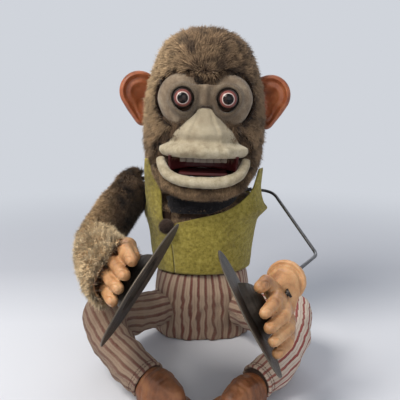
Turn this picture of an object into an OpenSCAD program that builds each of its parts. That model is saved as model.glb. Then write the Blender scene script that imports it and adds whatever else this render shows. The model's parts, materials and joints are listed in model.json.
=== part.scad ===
// Seated cymbal-playing monkey: plush head and arm, vinyl hands and feet, felt vest, striped
// cotton trousers, and a battery-driven clapping mechanism inside the body.
// Millimetres, +Z up, the face looks toward -Y, the floor is z = 0 under the middle of the base.

/* [Base] */
// Width of the battery base
base_w = 68; // [66:0.5:70]
// Depth of the battery base
base_d = 62; // [61:0.5:64]
// Height of the battery base
base_h = 42; // [38:0.5:46]
// Corner radius of the battery base
base_r = 16; // [14:0.5:17]
// Thickness of the base wall
base_wall = 1.6; // [1.2:0.1:1.8]
// Diameter of one battery cell
cell_d = 26.2; // [25:0.1:26.5]
// Length of one battery cell
cell_l = 50; // [46:0.5:50]
// Width of the battery door
door_w = 55; // [54:0.5:56]
// Depth of the battery door
door_d = 52; // [51.5:0.5:53]
// Thickness of the battery door
door_t = 1.4; // [1.2:0.1:1.6]
// Travel of the switch slider
switch_travel = 5; // [3:0.5:6]

/* [Mechanism] */
// Gear module
gear_m = 0.7; // [0.65:0.05:0.7]
// Teeth on each small pinion
pinion_z = 12; // [11:1:13]
// Teeth on the intermediate wheel
middle_z = 42; // [40:1:42]
// Teeth on the crank wheel
crank_z = 40; // [38:1:40]
// Thickness of the wheels
wheel_t = 3; // [2:0.5:3]
// Diameter of the motor can
motor_d = 19; // [17:0.5:19]
// Height of the motor can
motor_h = 24; // [20:0.5:25]
// Radius of the wheel axles
axle_r = 1.5; // [1.2:0.1:1.7]
// Radius at which the crank pins run
crank_throw = 3; // [2:0.25:3.5]
// Length of each arm lever
lever_l = 11; // [10:0.5:11.5]
// Thickness of the mechanism plates
plate_t = 1.5; // [1.2:0.1:2]

/* [Arms] */
// Radius of the bent arm wire
wire_r = 1.3; // [1.1:0.1:1.5]
// Distance of each arm shaft from the middle plane
shaft_x = 29; // [28:0.5:30]
// Distance of the arm shafts behind the middle of the base
shaft_y = 4; // [3:0.5:5]
// Height of the level part of the arm wires
shoulder_z = 120.6; // [119:0.2:121]
// Diameter of the cymbals
cymbal_d = 88; // [84:0.5:89]
// Diameter of the raised cymbal bell
bell_d = 40; // [36:0.5:42]
// Height of the raised cymbal bell
bell_h = 12; // [10:0.5:12.5]
// Sheet thickness of the cymbals
cymbal_t = 1; // [0.8:0.1:1.2]
// Length of the fingers past the knuckles
finger_l = 23; // [20:0.5:25]
// Shift of the right hand along its cymbal
right_hand_shift = 4.5; // [3:0.5:6]
// Shift of the left hand along its cymbal
left_hand_shift = 8.5; // [6:0.5:9]
// Lean of the left hand toward its cymbal in degrees
left_hand_lean = 10; // [6:0.5:10.5]
// Radius of a finger
finger_r = 4.7; // [4.4:0.1:4.9]
// Drop of the fingertips from the knuckles toward the cymbal
finger_drop = 11.5; // [8:0.5:12]

/* [Body] */
// Thickness of the felt vest
felt_t = 1.6; // [1.2:0.1:2]
// Thickness of the chest plush
plush_t = 3; // [2.5:0.1:3.2]
// Wall of the torso shell
shell_t = 1.6; // [1.2:0.1:1.8]
// Radius of the trouser legs at the knee
knee_r = 16; // [15:0.5:17.5]
// Sideways reach of the right knee
right_knee_x = 71; // [68:0.5:73]
// Sideways reach of the left knee
left_knee_x = 65; // [64:0.5:70]
// Radius of the right trouser leg at the shin
right_shin_r = 14.2; // [13:0.2:16.6]
// Radius of the left trouser leg at the shin
left_shin_r = 12.8; // [12:0.2:15]
// Height of the middle of the right shin
right_shin_z = 27.4; // [24:0.2:28]
// Height of the middle of the left shin
left_shin_z = 21; // [19.6:0.2:21.4]
// Height of the right foot at the instep
right_foot_h = 28; // [25:0.5:29]
// Height of the left foot at the instep
left_foot_h = 23.5; // [22:0.5:24]
// Radius of the right hem
right_hem_r = 13.4; // [12.5:0.1:14.4]
// Radius of the left hem
left_hem_r = 12.2; // [11.5:0.1:12.8]

/* [Head] */
// Sideways lean of the head in degrees
head_roll = 1.8; // [0:0.1:2]
// Thickness of the head plush
hood_t = 6; // [5:0.5:7]
// Wall of the skull
skull_t = 2; // [1.6:0.1:2.4]
// Radius of the eyeballs
eye_r = 8; // [7:0.1:8.2]
// Distance of each eye from the middle plane
eye_x = 17; // [16.5:0.1:17.5]
// Radius of the moulded patch round each eye
patch_r = 20; // [19:0.2:20.4]
// Radius of the upper lip roll
upper_lip_r = 5.5; // [5:0.1:5.6]
// Radius of the lower lip roll
lower_lip_r = 3.6; // [3.2:0.1:3.8]
// Reach of the ears from the head
ear_reach = 27; // [24:0.5:28]
// Height of the ears
ear_h = 46; // [44:0.5:48]
// Travel of the head when it is pressed
head_travel = 4; // [2:0.5:4]
// Travel of the eyes when they pop forward
eye_travel = 4; // [2:0.5:4.5]

/* [Fits] */
// Gap between parts that stand against each other
gap = 0.3; // [0.2:0.05:0.4]
// Radial clearance of turning and sliding fits
run = 0.06; // [0.04:0.01:0.09]

/* [Hidden] */
$fn = 48;
fine = 12;
hand_fn = 10;
lower_plate_z = base_h;
train_h = 34;
upper_plate_z = lower_plate_z + plate_t + train_h;
crank_disc_z = upper_plate_z + plate_t + 0.8;
link_z = crank_disc_z + 5.2;
lever_z = link_z - 2;
shoulder_plate_z = 110;
shoulder_plate_top = shoulder_plate_z + plate_t;
crank_at = [0, -10];
motor_at = [-11.5, 12.5];
pinion_pr = gear_m * pinion_z / 2;
middle_pr = gear_m * middle_z / 2;
crank_pr = gear_m * crank_z / 2;
mesh_play = 0.12;
bend_swell = 0.14;
near_reach = pinion_pr + crank_pr + mesh_play;
far_reach = pinion_pr + middle_pr + mesh_play;
span = norm(motor_at - crank_at);
span_dir = (motor_at - crank_at) / span;
along = (span * span + near_reach * near_reach - far_reach * far_reach) / (2 * span);
aside = sqrt(near_reach * near_reach - along * along);
middle_at = crank_at + along * span_dir + aside * [span_dir[1], -span_dir[0]];
post_spots = [[22, -13], [-22, -13], [-24.8, 3], [0, 25]];
post_r = 1.8;
high_post_spots = [[16, 14], [-16, 14]];
neck_at = [0, 8];
neck_r = 6;
neck_top = 152;
sleeve_bottom = 126;
head_y = -2;
pivot_z = 120;
eye_y = -46;
eye_z = 199;
patch_y = -30;
patch_z = 198;
jaw_y = -8;
jaw_z = 153;
jaw_pin_r = 1.5;
cell_z = 3.2 + cell_d / 2;
left_cymbal_at = [29.7, -143, 66.5];
left_cymbal_n = [0.89, 0.01, 0.464];
right_cymbal_at = [-37.8, -150, 87.8];
right_cymbal_n = [-0.851, 0.162, 0.505];
palm_k = cymbal_t + bell_h + gap + 6.6;
right_hand_lean = 5;
cuff_r = 13.2;
right_thumb_y = 12.5;
left_thumb_y = 25;
left_wire = [[shaft_x, shaft_y, shoulder_z], [53, 0, shoulder_z], [61, -5, 118.6],
    [85.9, -72, 84.3], [52.1, -132.1, 82.8]];
right_wire = [[-shaft_x, shaft_y, shoulder_z], [-57, -1, 120.2], [-82, -58, 91.5], [-58.5, -131, 92]];

// Unit vector
function unit(v) = v / norm(v);

// Point on the smooth curve between the second and third of four points
function curve_point(a, b, c, d, t) =
    0.5 * (2 * b + (c - a) * t + (2 * a - 5 * b + 4 * c - d) * t * t + (3 * b - a - 3 * c + d) * t * t * t);

// Smooth curve through a list of points, steps per span
function curve(p, steps) = concat(
    [for (i = [0:len(p) - 2], k = [0:steps - 1])
        curve_point(p[max(i - 1, 0)], p[i], p[i + 1], p[min(i + 2, len(p) - 1)], k / steps)],
    [p[len(p) - 1]]);

// Level oval ring with softened corners, power 2 is an ellipse
function oval(rx, ry, z, n, power = 2) = [for (i = [0:n - 1])
    let (a = 360 * i / n, c = cos(a), s = sin(a))
    [rx * sign(c) * pow(abs(c), 2 / power), ry * sign(s) * pow(abs(s), 2 / power), z]];

// Rings square to a curve, radii across and upright
function tube_rings(p, radii, n) = [for (i = [0:len(p) - 1])
    let (t = unit(p[min(i + 1, len(p) - 1)] - p[max(i - 1, 0)]),
        u = unit(cross([0, 0, 1], t)), v = cross(t, u))
    [for (k = [0:n - 1]) p[i] + radii[i][0] * cos(360 * k / n) * u + radii[i][1] * sin(360 * k / n) * v]];

// Solid skinned over stacked rings
module skinned(rings) {
    n = len(rings[0]);
    last = (len(rings) - 1) * n;
    walls = [for (i = [0:len(rings) - 2], j = [0:n - 1])
        let (a = i * n + j, b = i * n + (j + 1) % n) each [[a, a + n, b + n], [a, b + n, b]]];
    ends = [for (j = [1:n - 2]) each [[0, j, j + 1], [last, last + j + 1, last + j]]];
    polyhedron(points = [for (r = rings) each r], faces = concat(walls, ends), convexity = 6);
}

// Sheet wrapped part way round a stack of ovals: rows are [z, half width, half depth, from, to]
module wrapped(rows, t, n) {
    w = 2 * (n + 1);
    pts = [for (r = rows, side = [0, 1], j = [0:n])
        let (a = r[3] + (r[4] - r[3]) * j / n)
        [(r[1] - side * t) * cos(a), (r[2] - side * t) * sin(a), r[0]]];
    m = len(rows) - 1;
    skins = [for (i = [0:m - 1], j = [0:n - 1])
        let (a = i * w + j, b = a + n + 1)
        each [[a, a + w, a + w + 1], [a, a + w + 1, a + 1], [b, b + 1, b + w + 1], [b, b + w + 1, b + w]]];
    rims = [for (j = [0:n - 1])
        let (b = n + 1 + j, t0 = m * w + j, t1 = t0 + n + 1)
        each [[j, j + 1, b + 1], [j, b + 1, b], [t0, t1 + 1, t0 + 1], [t0, t1, t1 + 1]]];
    sides = [for (i = [0:m - 1])
        let (a = i * w, b = a + n + 1, c = a + n, d = b + n)
        each [[b, b + w, a + w], [b, a + w, a], [c, c + w, d + w], [c, d + w, d]]];
    polyhedron(points = pts, faces = concat(skins, rims, sides), convexity = 8);
}

// Round bar between two points
module bar(a, b, r) {
    v = b - a;
    translate(a)
        rotate([0, acos(v[2] / norm(v)), atan2(v[1], v[0])])
            cylinder(r = r, h = norm(v));
}

// Bent round wire through a list of points
module bent_wire(p, r) {
    for (i = [0:len(p) - 2]) bar(p[i], p[i + 1], r);
    for (i = [1:len(p) - 2]) translate(p[i]) sphere(r = r + bend_swell);
}

// Frame whose third axis follows n and whose first axis looks forward
module facing(at, n) {
    w = unit(n);
    f = unit([0, -1, 0] - ([0, -1, 0] * w) * w);
    s = cross(w, f);
    multmatrix([[f[0], s[0], w[0], at[0]], [f[1], s[1], w[1], at[1]], [f[2], s[2], w[2], at[2]]])
        children();
}

// Upright block with rounded corners, built from plain blocks and cylinders
module soft_block(w, d, h, r) {
    translate([-w / 2, -d / 2 + r, 0]) cube([w, d - 2 * r, h]);
    translate([-w / 2 + r, -d / 2, 0]) cube([w - 2 * r, d, h]);
    for (x = [-1, 1], y = [-1, 1])
        translate([x * (w / 2 - r), y * (d / 2 - r), 0]) cylinder(r = r, h = h);
}

// Toothed disc with straight-flanked teeth, one tooth centred on the X axis
module toothed(z, t) {
    pr = gear_m * z / 2;
    root = pr - 1.2 * gear_m;
    tip = pr + 0.9 * gear_m;
    half = 90 / z * 0.86;
    linear_extrude(height = t)
        polygon([for (i = [0:z - 1]) let (a = 360 * i / z) each [
            root * [cos(a - half * 1.55), sin(a - half * 1.55)],
            pr * [cos(a - half), sin(a - half)],
            tip * [cos(a - half * 0.45), sin(a - half * 0.45)],
            tip * [cos(a + half * 0.45), sin(a + half * 0.45)],
            pr * [cos(a + half), sin(a + half)],
            root * [cos(a + half * 1.55), sin(a + half * 1.55)]]]);
}

// Spur gear with a round bore
module gear(z, t, bore) {
    difference() {
        toothed(z, t);
        translate([0, 0, -1]) cylinder(r = bore, h = t + 2);
    }
}

function heading(a, b) = atan2(b[1] - a[1], b[0] - a[0]);

// Outline of the torso shell by height: half width and half depth
torso_rows = [[43.9, 34, 28.5], [56, 35, 29], [72, 37, 30], [90, 40, 31], [104, 43.5, 31]];
function torso_w(z) = lookup(z, [for (r = torso_rows) [r[0], r[1]]]);
function torso_d(z) = lookup(z, [for (r = torso_rows) [r[0], r[2]]]);

// Outline of the head plush by height
hood_rows = [[127, 27], [132, 37.5], [138, 42.3], [148, 45.8], [163, 47.6], [182, 47.6], [198, 46.4], [211, 43.8],
    [221, 40.5], [231, 37], [240, 32], [247, 23.5], [251, 13.5], [252.5, 0]];

// Solid turned from the head outline, drawn in by a set amount
module head_solid(inset) {
    translate([0, head_y, 0])
        rotate_extrude()
            polygon(concat([[0, hood_rows[0][0] + inset]],
                [for (r = hood_rows) [max(r[1] - inset, 0), r[0] + inset * (r[0] > 230 ? -1 : r[0] < 140 ? 1 : 0)]]));
}

// Tilt shared by everything on the head
module tilted() {
    translate([0, 0, pivot_z]) rotate([0, head_roll, 0]) translate([0, 0, -pivot_z]) children();
}

// Walls of the base with a bottom flange round the battery door
module base_box() {
    color("dimgray")
    difference() {
        soft_block(base_w, base_d, base_h, base_r);
        translate([0, 0, base_wall])
            soft_block(base_w - 2 * base_wall, base_d - 2 * base_wall, base_h, base_r - base_wall);
        translate([-door_w / 2 - gap, -door_d / 2 - gap, -1])
            cube([door_w + 2 * gap, door_d + 2 * gap, base_wall + 2]);
        translate([-switch_travel / 2 - 2.6, 0, 25.5]) cube([switch_travel + 5.2, base_d, 5]);
    }
}

// Door under the cells, with a hinge eye along its rear edge
module battery_door() {
    pin_y = door_d / 2 - 1.6;
    color("dimgray") {
        translate([-door_w / 2, -door_d / 2, 0]) cube([door_w, door_d - 3.6, door_t]);
        difference() {
            union() {
                translate([-door_w / 2 + 6, pin_y, 1.7]) rotate([0, 90, 0]) cylinder(r = 1.5, h = door_w - 12);
                translate([-door_w / 2 + 6, door_d / 2 - 3.7, 0]) cube([door_w - 12, 2.1, door_t]);
            }
            translate([-door_w, pin_y, 1.7]) rotate([0, 90, 0]) cylinder(r = 0.7 + run, h = 2 * door_w);
        }
    }
}

// Wire the battery door turns on
module door_hinge_pin() {
    color("silver")
    translate([-door_w / 2 + 0.5, door_d / 2 - 1.6, 1.7])
        rotate([0, 90, 0]) cylinder(r = 0.7, h = door_w - 1);
}

// Two cells lying front to back, laid opposite ways
module battery_cells() {
    color("goldenrod")
    for (side = [-1, 1])
        translate([side * (cell_d / 2 + 0.25), 0, cell_z])
            rotate([side * 90, 0, 0]) {
                translate([0, 0, -cell_l / 2]) cylinder(d = cell_d, h = cell_l - 1.5);
                translate([0, 0, cell_l / 2 - 1.5]) cylinder(d = 6, h = 1.5);
            }
}

// Spring strips at the ends of the cells
module battery_contacts() {
    color("silver")
    for (end = [-1, 1]) {
        translate([-18.5, end * (base_d / 2 - base_wall - 0.7) - 0.35, 8]) cube([37, 0.7, 16]);
        for (side = [-1, 1])
            translate([side * (cell_d / 2 + 0.25), end * (cell_l / 2 + 0.1), cell_z])
                rotate([end * -90, 0, 0])
                    cylinder(r = 4, h = base_d / 2 - base_wall - 1.05 - cell_l / 2 - 0.1);
    }
}

// Slider knob that passes through the rear wall
module switch_slider() {
    color("black") {
        translate([-3.8, base_d / 2 - base_wall - gap - 2.4, 25]) cube([7.6, 2, 6]);
        translate([-2.4, base_d / 2 - base_wall - gap - 0.5, 25.8]) cube([4.8, base_wall + 10.5, 4.4]);
    }
}

// Plate that closes the base and carries the gear train
module lower_plate() {
    color("silver")
    translate([0, 0, lower_plate_z])
        difference() {
            union() {
                cylinder(r = 27, h = plate_t);
                translate([-31, -8, 0]) cube([62, 16, plate_t]);
            }
            translate([crank_at[0], crank_at[1], -1]) cylinder(r = axle_r + run, h = plate_t + 2);
            translate([middle_at[0], middle_at[1], -1]) cylinder(r = axle_r, h = plate_t + 2);
        }
}

// Posts between the plates and up to the shoulder plate
module frame_posts() {
    color("silver") {
        for (p = post_spots)
            translate([p[0], p[1], lower_plate_z + plate_t]) cylinder(r = post_r, h = train_h);
        for (p = high_post_spots)
            translate([p[0], p[1], upper_plate_z + plate_t])
                cylinder(r = post_r, h = shoulder_plate_z - upper_plate_z - plate_t);
    }
}

// Plate over the gear train, with the lower bearings of the arm shafts
module upper_plate() {
    color("silver")
    translate([0, 0, upper_plate_z])
        difference() {
            union() {
                cylinder(r = 27.5, h = plate_t);
                translate([-shaft_x - 3.5, -4, 0]) cube([2 * shaft_x + 7, 12, plate_t]);
            }
            translate([crank_at[0], crank_at[1], -1]) cylinder(r = axle_r + run, h = plate_t + 2);
            translate([middle_at[0], middle_at[1], -1]) cylinder(r = axle_r, h = plate_t + 2);
            for (side = [-1, 1])
                translate([side * shaft_x, shaft_y, -1]) cylinder(r = wire_r + run, h = plate_t + 2);
        }
}

// Screws over the frame posts
module frame_screws() {
    color("gray") {
        for (p = post_spots) translate([p[0], p[1], upper_plate_z + plate_t]) cylinder(r = 2.4, h = 1.3);
        for (p = high_post_spots) translate([p[0], p[1], shoulder_plate_top]) cylinder(r = 2.4, h = 1.3);
    }
}

// Motor can standing on the lower plate
module motor_can() {
    color("gainsboro")
    translate([motor_at[0], motor_at[1], lower_plate_z + plate_t])
        difference() {
            cylinder(d = motor_d, h = motor_h);
            translate([0, 0, motor_h - 6]) cylinder(r = 1 + run, h = 7);
        }
}

// Motor shaft with its pinion
module motor_pinion() {
    base_z = lower_plate_z + plate_t + motor_h;
    color("gold")
    translate([motor_at[0], motor_at[1], 0]) {
        translate([0, 0, base_z - 5.5]) cylinder(r = 1, h = 7);
        translate([0, 0, base_z + 1.2])
            rotate([0, 0, heading(motor_at, middle_at)]) gear(pinion_z, wheel_t + 3, 0.5);
    }
}

// Fixed axle of the intermediate gear
module middle_axle() {
    color("silver")
    translate([middle_at[0], middle_at[1], lower_plate_z + gap])
        cylinder(r = axle_r - run / 3, h = train_h + 2 * plate_t - 2 * gap);
}

// Intermediate wheel and pinion in one moulding
module middle_gear() {
    wheel_z = lower_plate_z + plate_t + motor_h + 2.5;
    color("ivory")
    translate([middle_at[0], middle_at[1], wheel_z])
        difference() {
            union() {
                rotate([0, 0, heading(middle_at, motor_at) + 180 / middle_z]) toothed(middle_z, wheel_t);
                translate([0, 0, -6]) rotate([0, 0, heading(middle_at, crank_at)]) toothed(pinion_z, 7);
            }
            translate([0, 0, -7]) cylinder(r = axle_r + run, h = wheel_t + 9);
        }
}

// Crank wheel
module crank_gear() {
    color("ivory")
    translate([crank_at[0], crank_at[1], lower_plate_z + plate_t + motor_h - 2.2])
        rotate([0, 0, heading(crank_at, middle_at) + 180 / crank_z]) gear(crank_z, wheel_t, axle_r + 0.02);
}

// Crank shaft with its disc and two crank pins
module crank_shaft() {
    color("silver")
    translate([crank_at[0], crank_at[1], 0]) {
        translate([0, 0, lower_plate_z + gap]) cylinder(r = axle_r, h = crank_disc_z - lower_plate_z);
        translate([0, 0, crank_disc_z]) cylinder(r = crank_throw + 3, h = 2);
        for (side = [-1, 1])
            translate([0, side * crank_throw, crank_disc_z + 1]) cylinder(r = 1, h = link_z - crank_disc_z - 1.4);
    }
}

// Plate across the shoulders
module shoulder_plate() {
    color("silver")
    translate([0, 0, shoulder_plate_z])
        difference() {
            union() {
                translate([0, neck_at[1], 0]) cylinder(r = 19, h = plate_t);
                translate([-shaft_x - 4, shaft_y - 6, 0]) cube([2 * shaft_x + 8, 12, plate_t]);
            }
            for (side = [-1, 1])
                translate([side * shaft_x, shaft_y, -1]) cylinder(r = wire_r + 1.5, h = plate_t + 2);
        }
}

// Flanged bushes that carry the arm shafts
module arm_bushes() {
    color("gold")
    for (side = [-1, 1])
        translate([side * shaft_x, shaft_y, shoulder_plate_z])
            difference() {
                union() {
                    cylinder(r = wire_r + 1.48, h = plate_t);
                    translate([0, 0, plate_t]) cylinder(r = wire_r + 2.6, h = 2);
                }
                translate([0, 0, -1]) cylinder(r = wire_r + run, h = plate_t + 5);
            }
}

// Tube the head rides on
module neck_post() {
    color("silver")
    translate([neck_at[0], neck_at[1], shoulder_plate_top])
        difference() {
            cylinder(r = neck_r, h = neck_top - shoulder_plate_top);
            translate([0, 0, -1]) cylinder(r = neck_r - 1.2, h = neck_top);
        }
}

// Front half of the torso shell
module torso_front() {
    color("sienna")
    wrapped([for (r = torso_rows) [r[0], r[1], r[2], 180.4, 359.6]], shell_t, 18);
}

// Rear half of the torso shell
module torso_back() {
    color("sienna")
    wrapped([for (r = torso_rows) [r[0], r[1], r[2], 0.4, 179.6]], shell_t, 18);
}

// Plush over the chest, closed across the shoulders round the neck and the arm shafts
dome_rows = [[111, 0.965], [114.2, 0.86], [116.8, 0.7], [118.4, 0.5]];

module chest_solid(grow, drop) {
    w = torso_w(108) + grow;
    d = torso_d(108) + grow;
    skinned(concat(
        [for (z = [58.5 - drop, 72, 90, 104, 108 - drop]) oval(torso_w(z) + grow, torso_d(z) + grow, z, 40)],
        [for (r = dome_rows) oval(w * r[1], d * r[1], r[0] - drop, 40)]));
}

module chest_plush() {
    color("saddlebrown")
    difference() {
        chest_solid(plush_t + gap, 0);
        chest_solid(gap + 0.35, 2.2);
        translate([neck_at[0], neck_at[1], 100]) cylinder(r = neck_r + 5, h = 30);
        for (side = [-1, 1])
            translate([side * shaft_x, shaft_y, 100]) cylinder(r = wire_r + 3, h = 30);
    }
}

// Black felt collar under the chin
module neck_collar() {
    color("black")
    wrapped([[107.5, 49.4, 36.9, 240, 278], [112.5, 46.6, 35.9, 233, 296], [116, 44.5, 34.8, 231, 306],
        [120.5, 42, 32.8, 230, 317], [126, 48, 36, 300, 330]], 2, 16);
}

// Clear space the vest keeps from the shell
vest_grow = plush_t + felt_t + 4.6 * gap;
function vest_row(z, flare, from, to) = [z, torso_w(min(z, 109)) + vest_grow + flare,
    torso_d(min(z, 109)) + vest_grow, from, to];

// Vest front on the monkey's right, cut back along the neckline
module vest_right_front() {
    color("olive")
    wrapped([vest_row(56, 0.6, 181, 236), vest_row(72, 0.3, 181, 235.5), vest_row(88, 0, 181, 234.5),
        vest_row(97, 0, 184, 233), vest_row(103, 1, 194, 230), vest_row(112, 1.6, 203, 230),
        vest_row(124, 2, 203, 229.5), vest_row(132, 2.4, 203, 226), vest_row(141, 3, 204, 218),
        vest_row(150, 3, 206, 213)], felt_t, 12);
}

// Vest front on the monkey's left, crossing the middle to the button
module vest_left_front() {
    color("olive")
    wrapped([vest_row(56, 0.6, 237, 359), vest_row(72, 0.3, 236.5, 359), vest_row(88, 0, 235.5, 359),
        vest_row(97, 0, 239, 357), vest_row(103, 4, 262, 354), vest_row(107, 7, 281, 350),
        vest_row(113, 4.5, 300, 344.5), vest_row(124, 2.2, 322, 343), vest_row(132, 2.4, 329, 345),
        vest_row(141, 3, 336, 348)], felt_t, 18);
}

// Vest back with shoulder straps left standing
module vest_back() {
    color("olive")
    wrapped([vest_row(56, 0.6, 0, 180), vest_row(72, 0.3, 0, 180), vest_row(88, 0, 0, 180),
        vest_row(97, 0, 6, 174), vest_row(104, 0, 22, 158), vest_row(112, 0, 26, 154), vest_row(121, -3, 30, 150)],
        felt_t, 20);
}

// Dark pompom button
module vest_button() {
    row = vest_row(99, 0, 0, 0);
    a = 237;
    color("black")
    translate([(row[1] + 4.6) * cos(a), (row[2] + 4.6) * sin(a), 97]) sphere(r = 4.6);
}

seat_rows = [[1, 36.5, 33.5], [5, 39, 36], [12, 40.5, 37.5], [26, 41, 38], [40, 40.2, 37], [50, 38.2, 33.6],
    [55, 36.8, 31.2]];
seat_power = 2.7;

// Solid outline of the trouser seat, grown by a set amount
module seat_solid(grow) {
    skinned([for (r = seat_rows) oval(r[1] + grow, r[2] + grow, r[0] - (r[0] < 2 ? grow : 0), 44, seat_power)]);
}

// Padded trouser seat round the base
module trouser_seat() {
    color("rosybrown")
    difference() {
        seat_solid(0);
        translate([0, 0, -1]) soft_block(base_w + 2 * gap, base_d + 2 * gap, 1 + base_h + plate_t, base_r + gap);
        skinned([for (z = [base_h + plate_t - 0.6, 50, 56.5]) oval(torso_w(z) + gap, torso_d(z) + gap, z, 44)]);
        translate([-switch_travel / 2 - 4, 0, 22.5]) cube([switch_travel + 8, 60, 11]);
    }
}

// Form of one trouser leg from the hip round the knee to the hem
module leg_solid(side, knee_x, shin_r, end_r, grow) {
    shin_z = side < 0 ? right_shin_z : left_shin_z;
    spine = curve([[side * 26, -14, 24], [side * (knee_x - 20), -46, 28], [side * knee_x, -79, 36],
        [side * (knee_x * 0.5 + 25), -110, shin_z], [side * 36, -134, end_r + 1.8]], 4);
    n = len(spine) - 1;
    widths = [for (i = [0:n])
        let (r = lookup(i / n, [[0, 14.5], [0.3, 16], [0.5, knee_r], [0.75, shin_r], [1, end_r]]))
            [r + grow, r + grow]];
    skinned(tube_rings(spine, widths, 24));
}

// One trouser leg, closed against the seat and clear of the floor
module leg(side, knee_x, shin_r, end_r) {
    difference() {
        leg_solid(side, knee_x, shin_r, end_r, 0);
        seat_solid(gap);
        translate([-200, -200, -20]) cube([400, 400, 20.6]);
    }
}

// Striped leg on the monkey's right
module trouser_leg_right() {
    color("rosybrown") leg(-1, right_knee_x, right_shin_r, right_hem_r);
}

// Striped leg on the monkey's left
module trouser_leg_left() {
    color("rosybrown") leg(1, left_knee_x, left_shin_r, left_hem_r);
}

// Vinyl foot, flat underneath, with five toes
module foot(side, high, knee_x, shin_r, end_r) {
    difference() {
        mirror([side < 0 ? 1 : 0, 0, 0])
            translate([36, -134, 0])
                rotate([0, 0, -133]) {
                    hull() {
                        translate([5, 0, 0]) cylinder(r = 10, h = 1, $fn = 24);
                        translate([25, 0, 0]) cylinder(r = 12, h = 1, $fn = 24);
                        translate([2, 0, high / 2]) rotate([0, 90, 12]) cylinder(r = high / 2 - 2, h = 1, $fn = 24);
                        translate([13, 0, high - 10]) sphere(r = 10, $fn = 10);
                        translate([25, 0, high - 13.5]) sphere(r = 8.5, $fn = 10);
                    }
                    for (i = [0:4])
                        hull() {
                            translate([25, -9 + 4.5 * i, 5.6]) sphere(r = 5, $fn = 10);
                            translate([35.5 - 0.5 * i * i, -9.4 + 4.7 * i, 4.6 - 0.2 * i])
                                sphere(r = 4.2 - 0.25 * i, $fn = 10);
                        }
                }
        leg_solid(side, knee_x, shin_r, end_r, gap);
    }
}

// Foot on the monkey's right
module foot_right() {
    color("chocolate") foot(-1, right_foot_h, right_knee_x, right_shin_r, right_hem_r);
}

// Foot on the monkey's left
module foot_left() {
    color("chocolate") foot(1, left_foot_h, left_knee_x, left_shin_r, left_hem_r);
}

// Arm wire with its upright shaft
module arm_wire(p) {
    color("dimgray") {
        translate([p[0][0], p[0][1], upper_plate_z + gap])
            cylinder(r = wire_r, h = shoulder_z - upper_plate_z - gap);
        translate(p[0]) sphere(r = wire_r + bend_swell);
        bent_wire(p, wire_r);
    }
}

// Wire of the right arm
module right_arm_wire() {
    arm_wire(right_wire);
}

// Wire of the left arm
module left_arm_wire() {
    arm_wire(left_wire);
}

// Lever clamped on an arm shaft, with the pin that carries the link
module lever(side) {
    color("gold")
    translate([side * shaft_x, shaft_y, lever_z])
        difference() {
            union() {
                cylinder(r = wire_r + 2.2, h = 1.6);
                translate([-1.8, -lever_l, 0]) cube([3.6, lever_l, 1.6]);
                translate([0, -lever_l, 0]) cylinder(r = 1.9, h = 1.6);
                translate([0, -lever_l, 1]) cylinder(r = 1, h = 2.8);
            }
            translate([0, 0, -1]) cylinder(r = wire_r + 0.02, h = 4);
        }
}

// Lever of the right arm
module right_lever() {
    lever(-1);
}

// Lever of the left arm
module left_lever() {
    lever(1);
}

// Flat link from a lever pin to above its crank pin
module link(side) {
    from = [side * shaft_x, shaft_y - lever_l];
    to = [crank_at[0], crank_at[1] + side * crank_throw];
    reach = norm(to - from);
    color("silver")
    translate([from[0], from[1], link_z])
        rotate([0, 0, heading(from, to)])
            difference() {
                union() {
                    cylinder(r = 1.9, h = 1.2);
                    translate([0, -1.5, 0]) cube([reach, 3, 1.2]);
                    translate([reach, 0, 0]) cylinder(r = 2.2, h = 1.2);
                }
                translate([0, 0, -1]) cylinder(r = 1 + run, h = 4);
                translate([reach, 0, -1]) cylinder(r = 1 + run, h = 4);
            }
}

// Link of the right arm
module right_link() {
    link(-1);
}

// Link of the left arm
module left_link() {
    link(1);
}

// Plush sleeve on the upper part of the right arm
module right_sleeve_upper() {
    spine = curve([[-50, 3, 123], [-58, -1, 121], [-68.5, -25, 108], [-79, -50.5, 95.2]], 4);
    n = len(spine) - 1;
    across = [[0, 8], [0.3, 10.5], [0.7, 13.5], [1, 13.2]];
    along = [[0, 14], [0.3, 18], [0.7, 17.5], [1, 14.5]];
    widths = [for (i = [0:n]) [lookup(i / n, across), lookup(i / n, along)]];
    color("saddlebrown")
    difference() {
        skinned(tube_rings(spine, widths, 20));
        bent_wire(right_wire, wire_r + 0.2);
    }
}

// Thick plush cuff on the right forearm
module right_sleeve_fore() {
    spine = curve([[-80.8, -59.2, 91], [-74.5, -82, 90], [-67.6, -104, 90.5], [-61, -125, 92.5],
        [-55.5, -146, 96.5]], 3);
    n = len(spine) - 1;
    widths = [for (i = [0:n])
        let (r = lookup(i / n, [[0, 14], [0.2, 15.6], [0.55, 16.6], [0.8, 16.8], [1, 16]])) [r, r]];
    color("peru")
    difference() {
        skinned(tube_rings(spine, widths, 20));
        bent_wire(right_wire, wire_r + 0.2);
        skinned(tube_rings([[-65.2, -112, 91.2], [-61, -125, 92.5], [-54.4, -150, 97.3]],
            [[14.6, 14.6], [15, 15], [14.2, 14.2]], 20));
        palm(right_cymbal_at, right_cymbal_n, right_wrist, 1, right_hand_shift, right_hand_lean, gap);
        held(right_cymbal_at, right_cymbal_n, right_hand_shift, right_hand_lean) thumb(1, right_thumb_y, gap);
        cuff(right_wrist, gap);
        facing(right_cymbal_at, right_cymbal_n)
            translate([0, 0, -60]) cylinder(d = cymbal_d + 4, h = 60 + cymbal_t + 1.5);
        facing(right_cymbal_at, right_cymbal_n)
            translate([0, 0, -60]) cylinder(d = bell_d + 3, h = 60 + cymbal_t + bell_h + 1);
    }
}

// Place of each knuckle across the hand and its height over the cymbal
function knuckles(side) = [for (i = [0:3])
    let (y = side * (2 * finger_r - 0.6) * (i - 1.5)) [y, palm_k + 1.5 - 0.02 * y * y]];

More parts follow.
